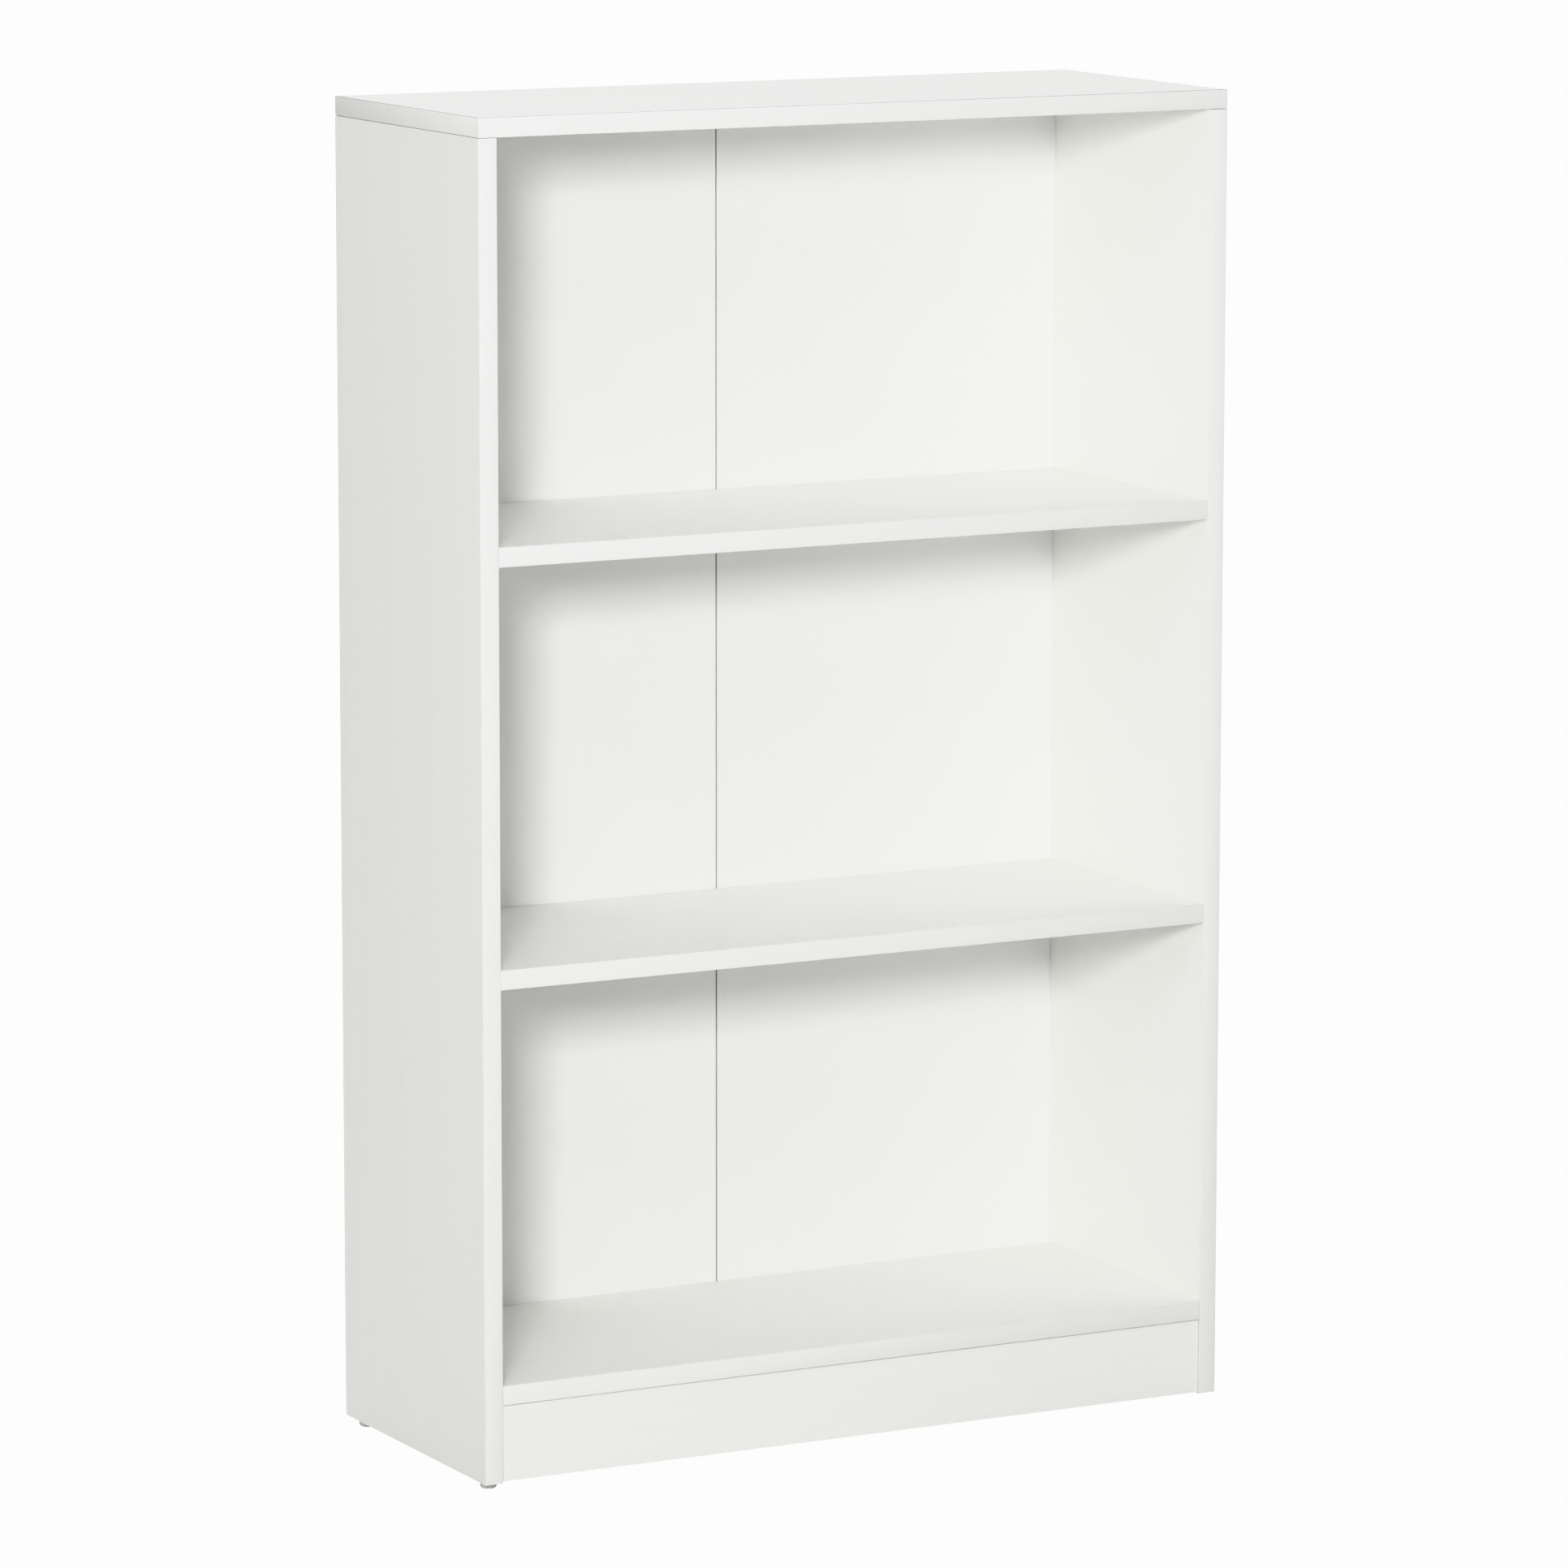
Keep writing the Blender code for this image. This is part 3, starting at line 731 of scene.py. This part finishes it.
def turned(name, profile, steps):
    """A solid turned round Z: a disc at the profile's lower end, drawn up from ring to ring."""
    radius, height = profile[0]
    bpy.ops.object.select_all(action="DESELECT")
    bpy.ops.mesh.primitive_circle_add(
        vertices=steps, radius=radius, fill_type="NGON", location=(0.0, 0.0, height)
    )
    piece = bpy.context.active_object
    piece.name = name
    piece.data.name = name
    bpy.ops.object.transform_apply(location=True, rotation=True, scale=True)
    bpy.ops.object.mode_set(mode="EDIT")
    bpy.ops.mesh.select_mode(type="FACE")
    bpy.ops.mesh.select_all(action="SELECT")
    for next_radius, next_height in profile[1:]:
        bpy.ops.mesh.extrude_region_move(
            TRANSFORM_OT_translate={"value": (0.0, 0.0, next_height - height)}
        )
        share = next_radius / radius
        bpy.ops.transform.resize(
            value=(share, share, 1.0), center_override=(0.0, 0.0, next_height)
        )
        radius, height = next_radius, next_height
    bpy.ops.mesh.select_all(action="SELECT")
    bpy.ops.mesh.normals_make_consistent(inside=False)
    bpy.ops.object.mode_set(mode="OBJECT")
    return piece


def copy_of(pattern, name, placing):
    """A copy of a pattern piece with its own mesh, set in its place."""
    made = bpy.data.objects.new(name, pattern.data.copy())
    made.data.transform(placing)
    bpy.context.scene.collection.objects.link(made)
    return made


def nodes_named(start):
    """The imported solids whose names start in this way, in order."""
    return sorted(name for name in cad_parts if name.startswith(start))


def turned_beech():
    """Beech: pale pinkish brown, close grained, with the short dark flecks of its rays."""
    made, tree, shader, place = new_finish("turned_beech")
    grain = add_node(
        tree,
        "ShaderNodeTexNoise",
        {},
        {"Vector": place, "Scale": 1 / BEECH_GRAIN, "Detail": 4.0, "Distortion": 0.8},
    )
    tone = add_node(tree, "ShaderNodeValToRGB", {}, {"Fac": grain.outputs["Fac"]})
    fill_ramp(tone, BEECH_TONES)
    tree.links.new(tone.outputs["Color"], shader.inputs["Base Color"])
    bump = add_node(
        tree,
        "ShaderNodeBump",
        {},
        {"Height": grain.outputs["Fac"], "Distance": BEECH_GRAIN_HEIGHT},
    )
    tree.links.new(bump.outputs["Normal"], shader.inputs["Normal"])
    shader.inputs["Roughness"].default_value = BEECH_ROUGHNESS
    return made


def dowel_pattern(node):
    """A fluted peg along Z, its middle at the origin."""
    low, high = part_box(node)
    sizes = sorted(high - low)
    radius, half = sizes[0] / 2, sizes[2] / 2
    end_radius = radius - DOWEL_CHAMFER
    shoulder = half - DOWEL_CHAMFER
    profile = [(end_radius, -half), (radius, -shoulder), (radius, shoulder), (end_radius, half)]
    piece = turned("dowel_pattern", profile, FLUTES * FLUTE_STEPS)
    for vertex in piece.data.vertices:
        around = math.atan2(vertex.co.y, vertex.co.x) / (2 * math.pi) * FLUTES
        if abs(vertex.co.z) <= shoulder + SAME_PLACE:
            groove = FLUTE_DEPTH * (0.5 - 0.5 * math.cos(2 * math.pi * around))
            share = (radius - groove) / radius
            vertex.co.x *= share
            vertex.co.y *= share
    shade_by_angle(piece)
    return piece


dowel_nodes = nodes_named("dowel_")
dowel, beech = dowel_pattern(dowel_nodes[0]), turned_beech()
for node in dowel_nodes:
    low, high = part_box(node)
    lies_flat = (high - low).x > (high - low).z
    turn = Matrix.Rotation(math.radians(90), 4, "Y") if lies_flat else Matrix.Identity(4)
    placing = Matrix.Translation((low + high) / 2) @ turn
    made = copy_of(dowel, node.replace("dowel_", "beech_dowel_"), placing)
    fit_piece(made, beech, [node])
bpy.data.objects.remove(dowel)


# Cam bolts
# Zinc-plated steel bolts, cold headed and rolled. The coarse thread goes into the side up to the
# collar, the shank lies in the board's end, and the cam grips the head behind its thin neck.

THREAD_LENGTH = 0.010
THREAD_PITCH = 0.0022
THREAD_CREST = 0.0026
THREAD_CORE = 0.0018
THREAD_RIDGE = 0.24
THREAD_RINGS_PER_TURN = 10
TIP_LENGTH = 0.0016
TIP_CORE_SHARE = 0.6
COLLAR_RADIUS = 0.0030
COLLAR_LENGTH = 0.0012
COLLAR_CHAMFER = 0.0003
SHANK_RADIUS = 0.0026
NECK_RADIUS = 0.0020
NECK_LENGTH = 0.0050
NECK_TAPER_BEFORE = 0.0004
NECK_TAPER_AFTER = 0.0002
HEAD_RADIUS = 0.0035
HEAD_LENGTH = 0.0028
HEAD_ROUND = 0.0008
HEAD_ROUND_MIDDLE = 0.3
BOLT_STEPS = 24
DRIVE_REACH = 0.0048
DRIVE_WIDTH = 0.0011
DRIVE_DEPTH = 0.0016
CROSS_TAPER = 0.72
PLATING_TONES = ((0.30, "#B4B7BA"), (0.70, "#CDD0D2"))
PLATING_MARK = 0.0012
PLATING_ROUGHNESS = (0.24, 0.40)


def plated_steel_finish():
    """Bright zinc plating on steel: a pale, faintly blue metal with fine rolling marks.

    The marks are drawn coarser than they are, or they wouldn't show.
    """
    made, tree, shader, place = new_finish("zinc_plated_steel")
    marks = add_node(
        tree, "ShaderNodeTexNoise", {}, {"Vector": place, "Scale": 1 / PLATING_MARK, "Detail": 3.0}
    )
    tone = add_node(tree, "ShaderNodeValToRGB", {}, {"Fac": marks.outputs["Fac"]})
    fill_ramp(tone, PLATING_TONES)
    tree.links.new(tone.outputs["Color"], shader.inputs["Base Color"])
    shader.inputs["Metallic"].default_value = 1.0
    smooth, worn = PLATING_ROUGHNESS
    wear = add_node(
        tree,
        "ShaderNodeMapRange",
        {},
        {"Value": marks.outputs["Fac"], "To Min": smooth, "To Max": worn},
    )
    tree.links.new(wear.outputs["Result"], shader.inputs["Roughness"])
    return made


def cut_away(piece, cutter):
    """Cuts one mesh out of a piece and removes the cutter."""
    bpy.ops.object.select_all(action="DESELECT")
    piece.select_set(True)
    bpy.context.view_layer.objects.active = piece
    cut = piece.modifiers.new("cut", "BOOLEAN")
    cut.operation = "DIFFERENCE"
    cut.solver = "EXACT"
    cut.object = cutter
    bpy.ops.object.modifier_apply(modifier=cut.name)
    bpy.data.objects.remove(cutter)


def cut_cross(piece, mouth_z, deeper, reach, width, depth):
    """A cross recess for a screwdriver, open at mouth_z and running deeper, up or down."""
    for along_x, along_y in ((reach, width), (width, reach)):
        inner, outer = mouth_z + deeper * depth, mouth_z - deeper * depth
        low = Vector((-along_x / 2, -along_y / 2, min(inner, outer)))
        high = Vector((along_x / 2, along_y / 2, max(inner, outer)))
        cutter = add_box("cross_cutter", low, high)
        for vertex in cutter.data.vertices:
            if abs(vertex.co.z - inner) < SAME_PLACE:
                vertex.co.x *= CROSS_TAPER
                vertex.co.y *= CROSS_TAPER
        cut_away(piece, cutter)


def bolt_pattern(length):
    """A bolt along Z: its collar's seat is at the origin, the thread below and the head above."""
    head_top = length - THREAD_LENGTH
    shoulder = head_top - HEAD_LENGTH
    neck_start = shoulder - NECK_LENGTH
    bulge = HEAD_ROUND * HEAD_ROUND_MIDDLE
    rings = round(THREAD_LENGTH / THREAD_PITCH * THREAD_RINGS_PER_TURN)
    profile = [(THREAD_CORE, -THREAD_LENGTH * (1 - ring / rings)) for ring in range(rings)]
    profile += [
        (THREAD_CORE, 0.0),
        (COLLAR_RADIUS, 0.0),
        (COLLAR_RADIUS, COLLAR_LENGTH),
        (SHANK_RADIUS, COLLAR_LENGTH + COLLAR_CHAMFER),
        (SHANK_RADIUS, neck_start - NECK_TAPER_BEFORE),
        (NECK_RADIUS, neck_start + NECK_TAPER_AFTER),
        (NECK_RADIUS, shoulder),
        (HEAD_RADIUS, shoulder),
        (HEAD_RADIUS, head_top - HEAD_ROUND),
        (HEAD_RADIUS - bulge, head_top - bulge),
        (HEAD_RADIUS - HEAD_ROUND, head_top),
    ]
    piece = turned("cam_bolt_pattern", profile, BOLT_STEPS)
    for vertex in piece.data.vertices:
        if vertex.co.z > -SAME_PLACE:
            continue
        around = math.atan2(vertex.co.y, vertex.co.x) / (2 * math.pi)
        phase = (vertex.co.z / THREAD_PITCH - around) % 1.0
        ridge = max(0.0, 1 - abs(phase - 0.5) / THREAD_RIDGE)
        tip = min(1.0, (vertex.co.z + THREAD_LENGTH) / TIP_LENGTH)
        run_out = min(1.0, -vertex.co.z / (THREAD_PITCH / 2))
        core = THREAD_CORE * (TIP_CORE_SHARE + (1 - TIP_CORE_SHARE) * tip)
        wanted = core + (THREAD_CREST - THREAD_CORE) * ridge * tip * run_out
        share = wanted / THREAD_CORE
        vertex.co.x *= share
        vertex.co.y *= share
    cut_cross(piece, head_top, -1, DRIVE_REACH, DRIVE_WIDTH, DRIVE_DEPTH)
    shade_by_angle(piece)
    return piece


bolt_nodes = nodes_named("cam_bolt_")
low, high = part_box(bolt_nodes[0])
bolt, plated_steel = bolt_pattern((high - low).x), plated_steel_finish()
for node in bolt_nodes:
    low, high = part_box(node)
    on_left = node.endswith("left")
    seat_x = low.x + THREAD_LENGTH if on_left else high.x - THREAD_LENGTH
    seat = Vector((seat_x, (low.y + high.y) / 2, (low.z + high.z) / 2))
    inward = Vector((1, 0, 0)) if on_left else Vector((-1, 0, 0))
    placing = Matrix.Translation(seat) @ inward.to_track_quat("Z", "Y").to_matrix().to_4x4()
    made = copy_of(bolt, node.replace("cam_bolt_", "threaded_cam_bolt_"), placing)
    fit_piece(made, plated_steel, [node])
bpy.data.objects.remove(bolt)


# Cam locks
# Die-cast zinc cylinders in the undersides of the shelves and the bottom panel. A half turn draws
# the bolt's head into the board. The face has a cross for the screwdriver and an arrow to the bolt.

CAM_STEPS = 48
CAM_RIM = 0.0004
CAM_FACE_INSET = 0.0009
CAM_FACE_SINK = 0.0003
CAM_WAIST_SINK = 0.0005
CAM_WAIST_LOW = 0.0022
CAM_WAIST_HIGH = 0.0040
CAM_RAIL_INNER = 0.0044
CAM_POCKET_REACH = 0.0040
CAM_CROSS_REACH = 0.0072
CAM_CROSS_WIDTH = 0.0015
CAM_CROSS_DEPTH = 0.0022
CAM_HEAD_CLEARANCE = 0.0003
CAM_NECK_CLEARANCE = 0.0004
ARROW_PLACE = 0.0052
ARROW_RADIUS = 0.0011
ARROW_DEPTH = 0.0004
CUT_OVERSHOOT = 0.001
CASTING_TONES = ((0.30, "#A6A7AA"), (0.70, "#BFC0C2"))
CASTING_FROST = 0.0009
CASTING_FROST_HEIGHT = 0.00003
CASTING_ROUGHNESS = (0.36, 0.58)


def die_cast_zinc():
    """Die-cast zinc: grey, with the dull frosted skin of the mould and brighter rubbed spots.

    The frost is drawn coarser than it is, or it wouldn't show.
    """
    made, tree, shader, place = new_finish("die_cast_zinc")
    skin = add_node(
        tree, "ShaderNodeTexNoise", {}, {"Vector": place, "Scale": 1 / CASTING_FROST, "Detail": 4.0}
    )
    tone = add_node(tree, "ShaderNodeValToRGB", {}, {"Fac": skin.outputs["Fac"]})
    fill_ramp(tone, CASTING_TONES)
    tree.links.new(tone.outputs["Color"], shader.inputs["Base Color"])
    shader.inputs["Metallic"].default_value = 1.0
    rubbed, dull = CASTING_ROUGHNESS
    rub = add_node(
        tree,
        "ShaderNodeMapRange",
        {},
        {"Value": skin.outputs["Fac"], "To Min": rubbed, "To Max": dull},
    )
    tree.links.new(rub.outputs["Result"], shader.inputs["Roughness"])
    bump = add_node(
        tree,
        "ShaderNodeBump",
        {},
        {"Height": skin.outputs["Fac"], "Distance": CASTING_FROST_HEIGHT},
    )
    tree.links.new(bump.outputs["Normal"], shader.inputs["Normal"])
    return made


def cam_pattern(radius, height, bolt_z):
    """A cam lock that stands on the origin, its neck slot towards +X."""
    profile = [
        (radius - CAM_FACE_INSET - CAM_FACE_SINK, CAM_FACE_SINK),
        (radius - CAM_FACE_INSET, 0.0),
        (radius - CAM_RIM, 0.0),
        (radius, CAM_RIM),
        (radius, CAM_WAIST_LOW),
        (radius - CAM_WAIST_SINK, CAM_WAIST_LOW + CAM_RIM),
        (radius - CAM_WAIST_SINK, CAM_WAIST_HIGH - CAM_RIM),
        (radius, CAM_WAIST_HIGH),
        (radius, height - CAM_RIM),
        (radius - CAM_RIM, height),
    ]
    piece = turned("cam_lock_pattern", profile, CAM_STEPS)
    head_room = HEAD_RADIUS + CAM_HEAD_CLEARANCE
    neck_room = NECK_RADIUS + CAM_NECK_CLEARANCE
    over_z = height + CUT_OVERSHOOT
    pocket = add_box(
        "pocket_cutter",
        Vector((-CAM_POCKET_REACH, -head_room, bolt_z - head_room)),
        Vector((CAM_RAIL_INNER, head_room, over_z)),
    )
    cut_away(piece, pocket)
    slot = add_box(
        "slot_cutter",
        Vector((CAM_RAIL_INNER - CUT_OVERSHOOT, -neck_room, bolt_z - neck_room)),
        Vector((radius + CUT_OVERSHOOT, neck_room, over_z)),
    )
    cut_away(piece, slot)
    cut_cross(piece, CAM_FACE_SINK, 1, CAM_CROSS_REACH, CAM_CROSS_WIDTH, CAM_CROSS_DEPTH)
    bpy.ops.object.select_all(action="DESELECT")
    bpy.ops.mesh.primitive_cylinder_add(
        vertices=3,
        radius=ARROW_RADIUS,
        depth=2 * ARROW_DEPTH,
        location=(ARROW_PLACE, 0.0, CAM_FACE_SINK),
        rotation=(0.0, 0.0, math.radians(-90)),
    )
    arrow = bpy.context.active_object
    bpy.ops.object.transform_apply(location=True, rotation=True, scale=True)
    cut_away(piece, arrow)
    shade_by_angle(piece)
    return piece


cam_nodes = nodes_named("cam_lock_")
low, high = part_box(cam_nodes[0])
bolt_low, bolt_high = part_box(cam_nodes[0].replace("cam_lock_", "cam_bolt_"))
cam = cam_pattern((high - low).x / 2, (high - low).z, (bolt_low.z + bolt_high.z) / 2 - low.z)
zinc = die_cast_zinc()
for node in cam_nodes:
    low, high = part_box(node)
    foot = Vector(((low.x + high.x) / 2, (low.y + high.y) / 2, low.z))
    half_turn = math.pi if node.endswith("left") else 0.0
    placing = Matrix.Translation(foot) @ Matrix.Rotation(half_turn, 4, "Z")
    made = copy_of(cam, node.replace("cam_lock_", "cast_cam_lock_"), placing)
    fit_piece(made, zinc, [node])
bpy.data.objects.remove(cam)


# Glides
# Four round pads of grey polythene, each moulded on a steel nail and driven up into a side. The
# foot is flat, the shoulder is domed, and a low straight rim meets the board.

GLIDE_FOOT_RADIUS = 0.0042
GLIDE_RIM_Z = 0.0022
GLIDE_DOME_STEPS = 8
GLIDE_GATE_RADIUS = 0.0013
GLIDE_GATE_DEPTH = 0.0003
GLIDE_TOP_CHAMFER = 0.0003
GLIDE_STEPS = 64
GLIDE_PAD_HEIGHT = 0.0047
NAIL_RADIUS = 0.0011
NAIL_POINT = 0.0020
NAIL_POINT_SHARE = 0.12
NAIL_RINGS = 5
NAIL_RING_DEPTH = 0.00012
NAIL_RING_PARTS = 6
NAIL_STEPS = 16
POLYTHENE_TONES = ((0.30, "#C4C4BF"), (0.70, "#CDCDC8"))
POLYTHENE_FROST = 0.0016
POLYTHENE_FROST_HEIGHT = 0.00002
POLYTHENE_ROUGHNESS = 0.45


def moulded_polythene():
    """Moulded polythene: warm light grey and waxy, with a fine frost, drawn coarser than it is."""
    made, tree, shader, place = new_finish("moulded_polythene")
    frost = add_node(
        tree,
        "ShaderNodeTexNoise",
        {},
        {"Vector": place, "Scale": 1 / POLYTHENE_FROST, "Detail": 3.0},
    )
    tone = add_node(tree, "ShaderNodeValToRGB", {}, {"Fac": frost.outputs["Fac"]})
    fill_ramp(tone, POLYTHENE_TONES)
    tree.links.new(tone.outputs["Color"], shader.inputs["Base Color"])
    bump = add_node(
        tree,
        "ShaderNodeBump",
        {},
        {"Height": frost.outputs["Fac"], "Distance": POLYTHENE_FROST_HEIGHT},
    )
    tree.links.new(bump.outputs["Normal"], shader.inputs["Normal"])
    shader.inputs["Roughness"].default_value = POLYTHENE_ROUGHNESS
    return made


def pad_pattern(radius):
    """A pad on the origin, with the gate mark of its moulding sunk in the middle of the foot."""
    profile = [
        (GLIDE_GATE_RADIUS - GLIDE_GATE_DEPTH, GLIDE_GATE_DEPTH),
        (GLIDE_GATE_RADIUS, 0.0),
        (GLIDE_FOOT_RADIUS, 0.0),
    ]
    for step in range(1, GLIDE_DOME_STEPS + 1):
        angle = math.pi / 2 * step / GLIDE_DOME_STEPS
        out = GLIDE_FOOT_RADIUS + (radius - GLIDE_FOOT_RADIUS) * math.sin(angle)
        profile.append((out, GLIDE_RIM_Z * (1 - math.cos(angle))))
    profile.append((radius, GLIDE_PAD_HEIGHT - GLIDE_TOP_CHAMFER))
    profile.append((radius - GLIDE_TOP_CHAMFER, GLIDE_PAD_HEIGHT))
    piece = turned("glide_pad_pattern", profile, GLIDE_STEPS)
    shade_by_angle(piece)
    return piece


def nail_pattern(height):
    """The nail from the pad up to its point, with the ring marks that hold it in the chips."""
    profile = [(NAIL_RADIUS, GLIDE_PAD_HEIGHT)]
    pitch = (height - NAIL_POINT - GLIDE_PAD_HEIGHT) / (NAIL_RINGS + 1)
    reach = pitch / NAIL_RING_PARTS
    for ring in range(1, NAIL_RINGS + 1):
        middle = GLIDE_PAD_HEIGHT + pitch * ring
        profile.append((NAIL_RADIUS, middle - reach))
        profile.append((NAIL_RADIUS - NAIL_RING_DEPTH, middle))
        profile.append((NAIL_RADIUS, middle + reach))
    profile.append((NAIL_RADIUS, height - NAIL_POINT))
    profile.append((NAIL_RADIUS * NAIL_POINT_SHARE, height))
    piece = turned("glide_nail_pattern", profile, NAIL_STEPS)
    shade_by_angle(piece)
    return piece


glide_nodes = nodes_named("glide_")
low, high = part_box(glide_nodes[0])
pad, nail, polythene = pad_pattern((high - low).x / 2), nail_pattern(high.z), moulded_polythene()
for node in glide_nodes:
    low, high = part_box(node)
    placing = Matrix.Translation(((low.x + high.x) / 2, (low.y + high.y) / 2, low.z))
    made = copy_of(pad, node.replace("glide_", "glide_pad_"), placing)
    fit_piece(made, polythene, [node])
    made = copy_of(nail, node.replace("glide_", "glide_nail_"), placing)
    fit_piece(made, plated_steel)
bpy.data.objects.remove(pad)
bpy.data.objects.remove(nail)


# Studio
# A white floor and white surroundings, as for a cut-out picture: the camera sees them plain white,
# and they still send soft light back onto the bookcase. A small key light stands to the front left.
# The low light at the rear right is for the sides that the photograph doesn't show.

FLOOR_SIDE = 14.0
FLOOR_GREY = 0.55
AMBIENT_TINT = "#FFFAF8"
AMBIENT_STRENGTH = 0.365
BACKDROP_COLOUR = "#FFFFFF"
BACKDROP_STRENGTH = 4.0
TARGET = (CAD_BOUNDS[0] + CAD_BOUNDS[1]) / 2


def white_to_camera(tree, output, seen_by_others):
    """Shows plain white to the camera, and another shader to everything else."""
    path = add_node(tree, "ShaderNodeLightPath")
    plain = add_node(
        tree,
        "ShaderNodeEmission",
        {},
        {"Color": colour(BACKDROP_COLOUR), "Strength": BACKDROP_STRENGTH},
    )
    mix = add_node(
        tree,
        "ShaderNodeMixShader",
        {},
        {0: path.outputs["Is Camera Ray"], 1: seen_by_others, 2: plain.outputs[0]},
    )
    tree.links.new(mix.outputs[0], output.inputs["Surface"])


def studio_floor():
    """A floor of pale paper, wider than the camera sees."""
    bpy.ops.object.select_all(action="DESELECT")
    bpy.ops.mesh.primitive_plane_add(size=FLOOR_SIDE)
    floor = bpy.context.active_object
    floor.name = "studio_floor"
    made = bpy.data.materials.new("studio_paper")
    made.use_nodes = True
    tree = made.node_tree
    tree.nodes.clear()
    output = add_node(tree, "ShaderNodeOutputMaterial")
    paper = add_node(
        tree, "ShaderNodeBsdfDiffuse", {}, {"Color": (FLOOR_GREY, FLOOR_GREY, FLOOR_GREY, 1.0)}
    )
    white_to_camera(tree, output, paper.outputs[0])
    floor.data.materials.append(made)


def surroundings():
    """Even, faintly warm light from all round."""
    world = bpy.data.worlds.new("studio_surroundings")
    bpy.context.scene.world = world
    world.use_nodes = True
    tree = world.node_tree
    tree.nodes.clear()
    output = add_node(tree, "ShaderNodeOutputWorld")
    soft = add_node(
        tree,
        "ShaderNodeBackground",
        {},
        {"Color": colour(AMBIENT_TINT), "Strength": AMBIENT_STRENGTH},
    )
    white_to_camera(tree, output, soft.outputs[0])


def soft_light(name, azimuth, elevation, distance, side, watts, tint):
    """A square light that faces the bookcase. Azimuth 0 is in front, and grows to the right."""
    turn, rise = math.radians(azimuth), math.radians(elevation)
    level = math.cos(rise)
    back = Vector((math.sin(turn) * level, -math.cos(turn) * level, math.sin(rise)))
    lamp = bpy.data.lights.new(name, "AREA")
    lamp.shape = "SQUARE"
    lamp.size = side
    lamp.energy = watts
    lamp.color = colour(tint)[:3]
    made = bpy.data.objects.new(name, lamp)
    made.location = TARGET + back * distance
    made.rotation_euler = back.to_track_quat("Z", "Y").to_euler()
    made.visible_camera = False
    bpy.context.scene.collection.objects.link(made)


studio_floor()
surroundings()
soft_light(
    "key_light", azimuth=-33.4, elevation=15.0, distance=5.9, side=0.8, watts=197.0, tint="#FDFFFC"
)
soft_light(
    "high_front_light",
    azimuth=-30.0,
    elevation=50.0,
    distance=4.0,
    side=2.5,
    watts=37.0,
    tint="#F2F5FF",
)
soft_light(
    "top_light", azimuth=170.0, elevation=74.0, distance=4.5, side=3.0, watts=112.0, tint="#FAFCFF"
)
soft_light(
    "near_left_light",
    azimuth=-64.0,
    elevation=2.0,
    distance=2.6,
    side=0.9,
    watts=3.0,
    tint="#FFFFFF",
)
soft_light(
    "rear_right_light",
    azimuth=140.0,
    elevation=0.0,
    distance=4.5,
    side=1.0,
    watts=85.0,
    tint="#FFFFFF",
)
bpy.context.scene.view_settings.view_transform = "Khronos PBR Neutral"


# Camera
# A long lens from the front left, above the bookcase's top, looking slightly down.

LENS = 176.957
SENSOR = 36.0
CAMERA_PLACE = (-2.97796, -5.62749, 1.57417)
CAMERA_YAW = math.radians(27.8897)
CAMERA_DOWN = math.radians(9.2524)
CAMERA_ROLL = math.radians(0.0489)

lens = bpy.data.cameras.new("photo_camera")
lens.lens = LENS
lens.sensor_width = SENSOR
camera = bpy.data.objects.new("photo_camera", lens)
camera.matrix_world = (
    Matrix.Translation(CAMERA_PLACE)
    @ Matrix.Rotation(-CAMERA_YAW, 4, "Z")
    @ Matrix.Rotation(math.radians(90) - CAMERA_DOWN, 4, "X")
    @ Matrix.Rotation(CAMERA_ROLL, 4, "Z")
)
bpy.context.scene.collection.objects.link(camera)
bpy.context.scene.camera = camera
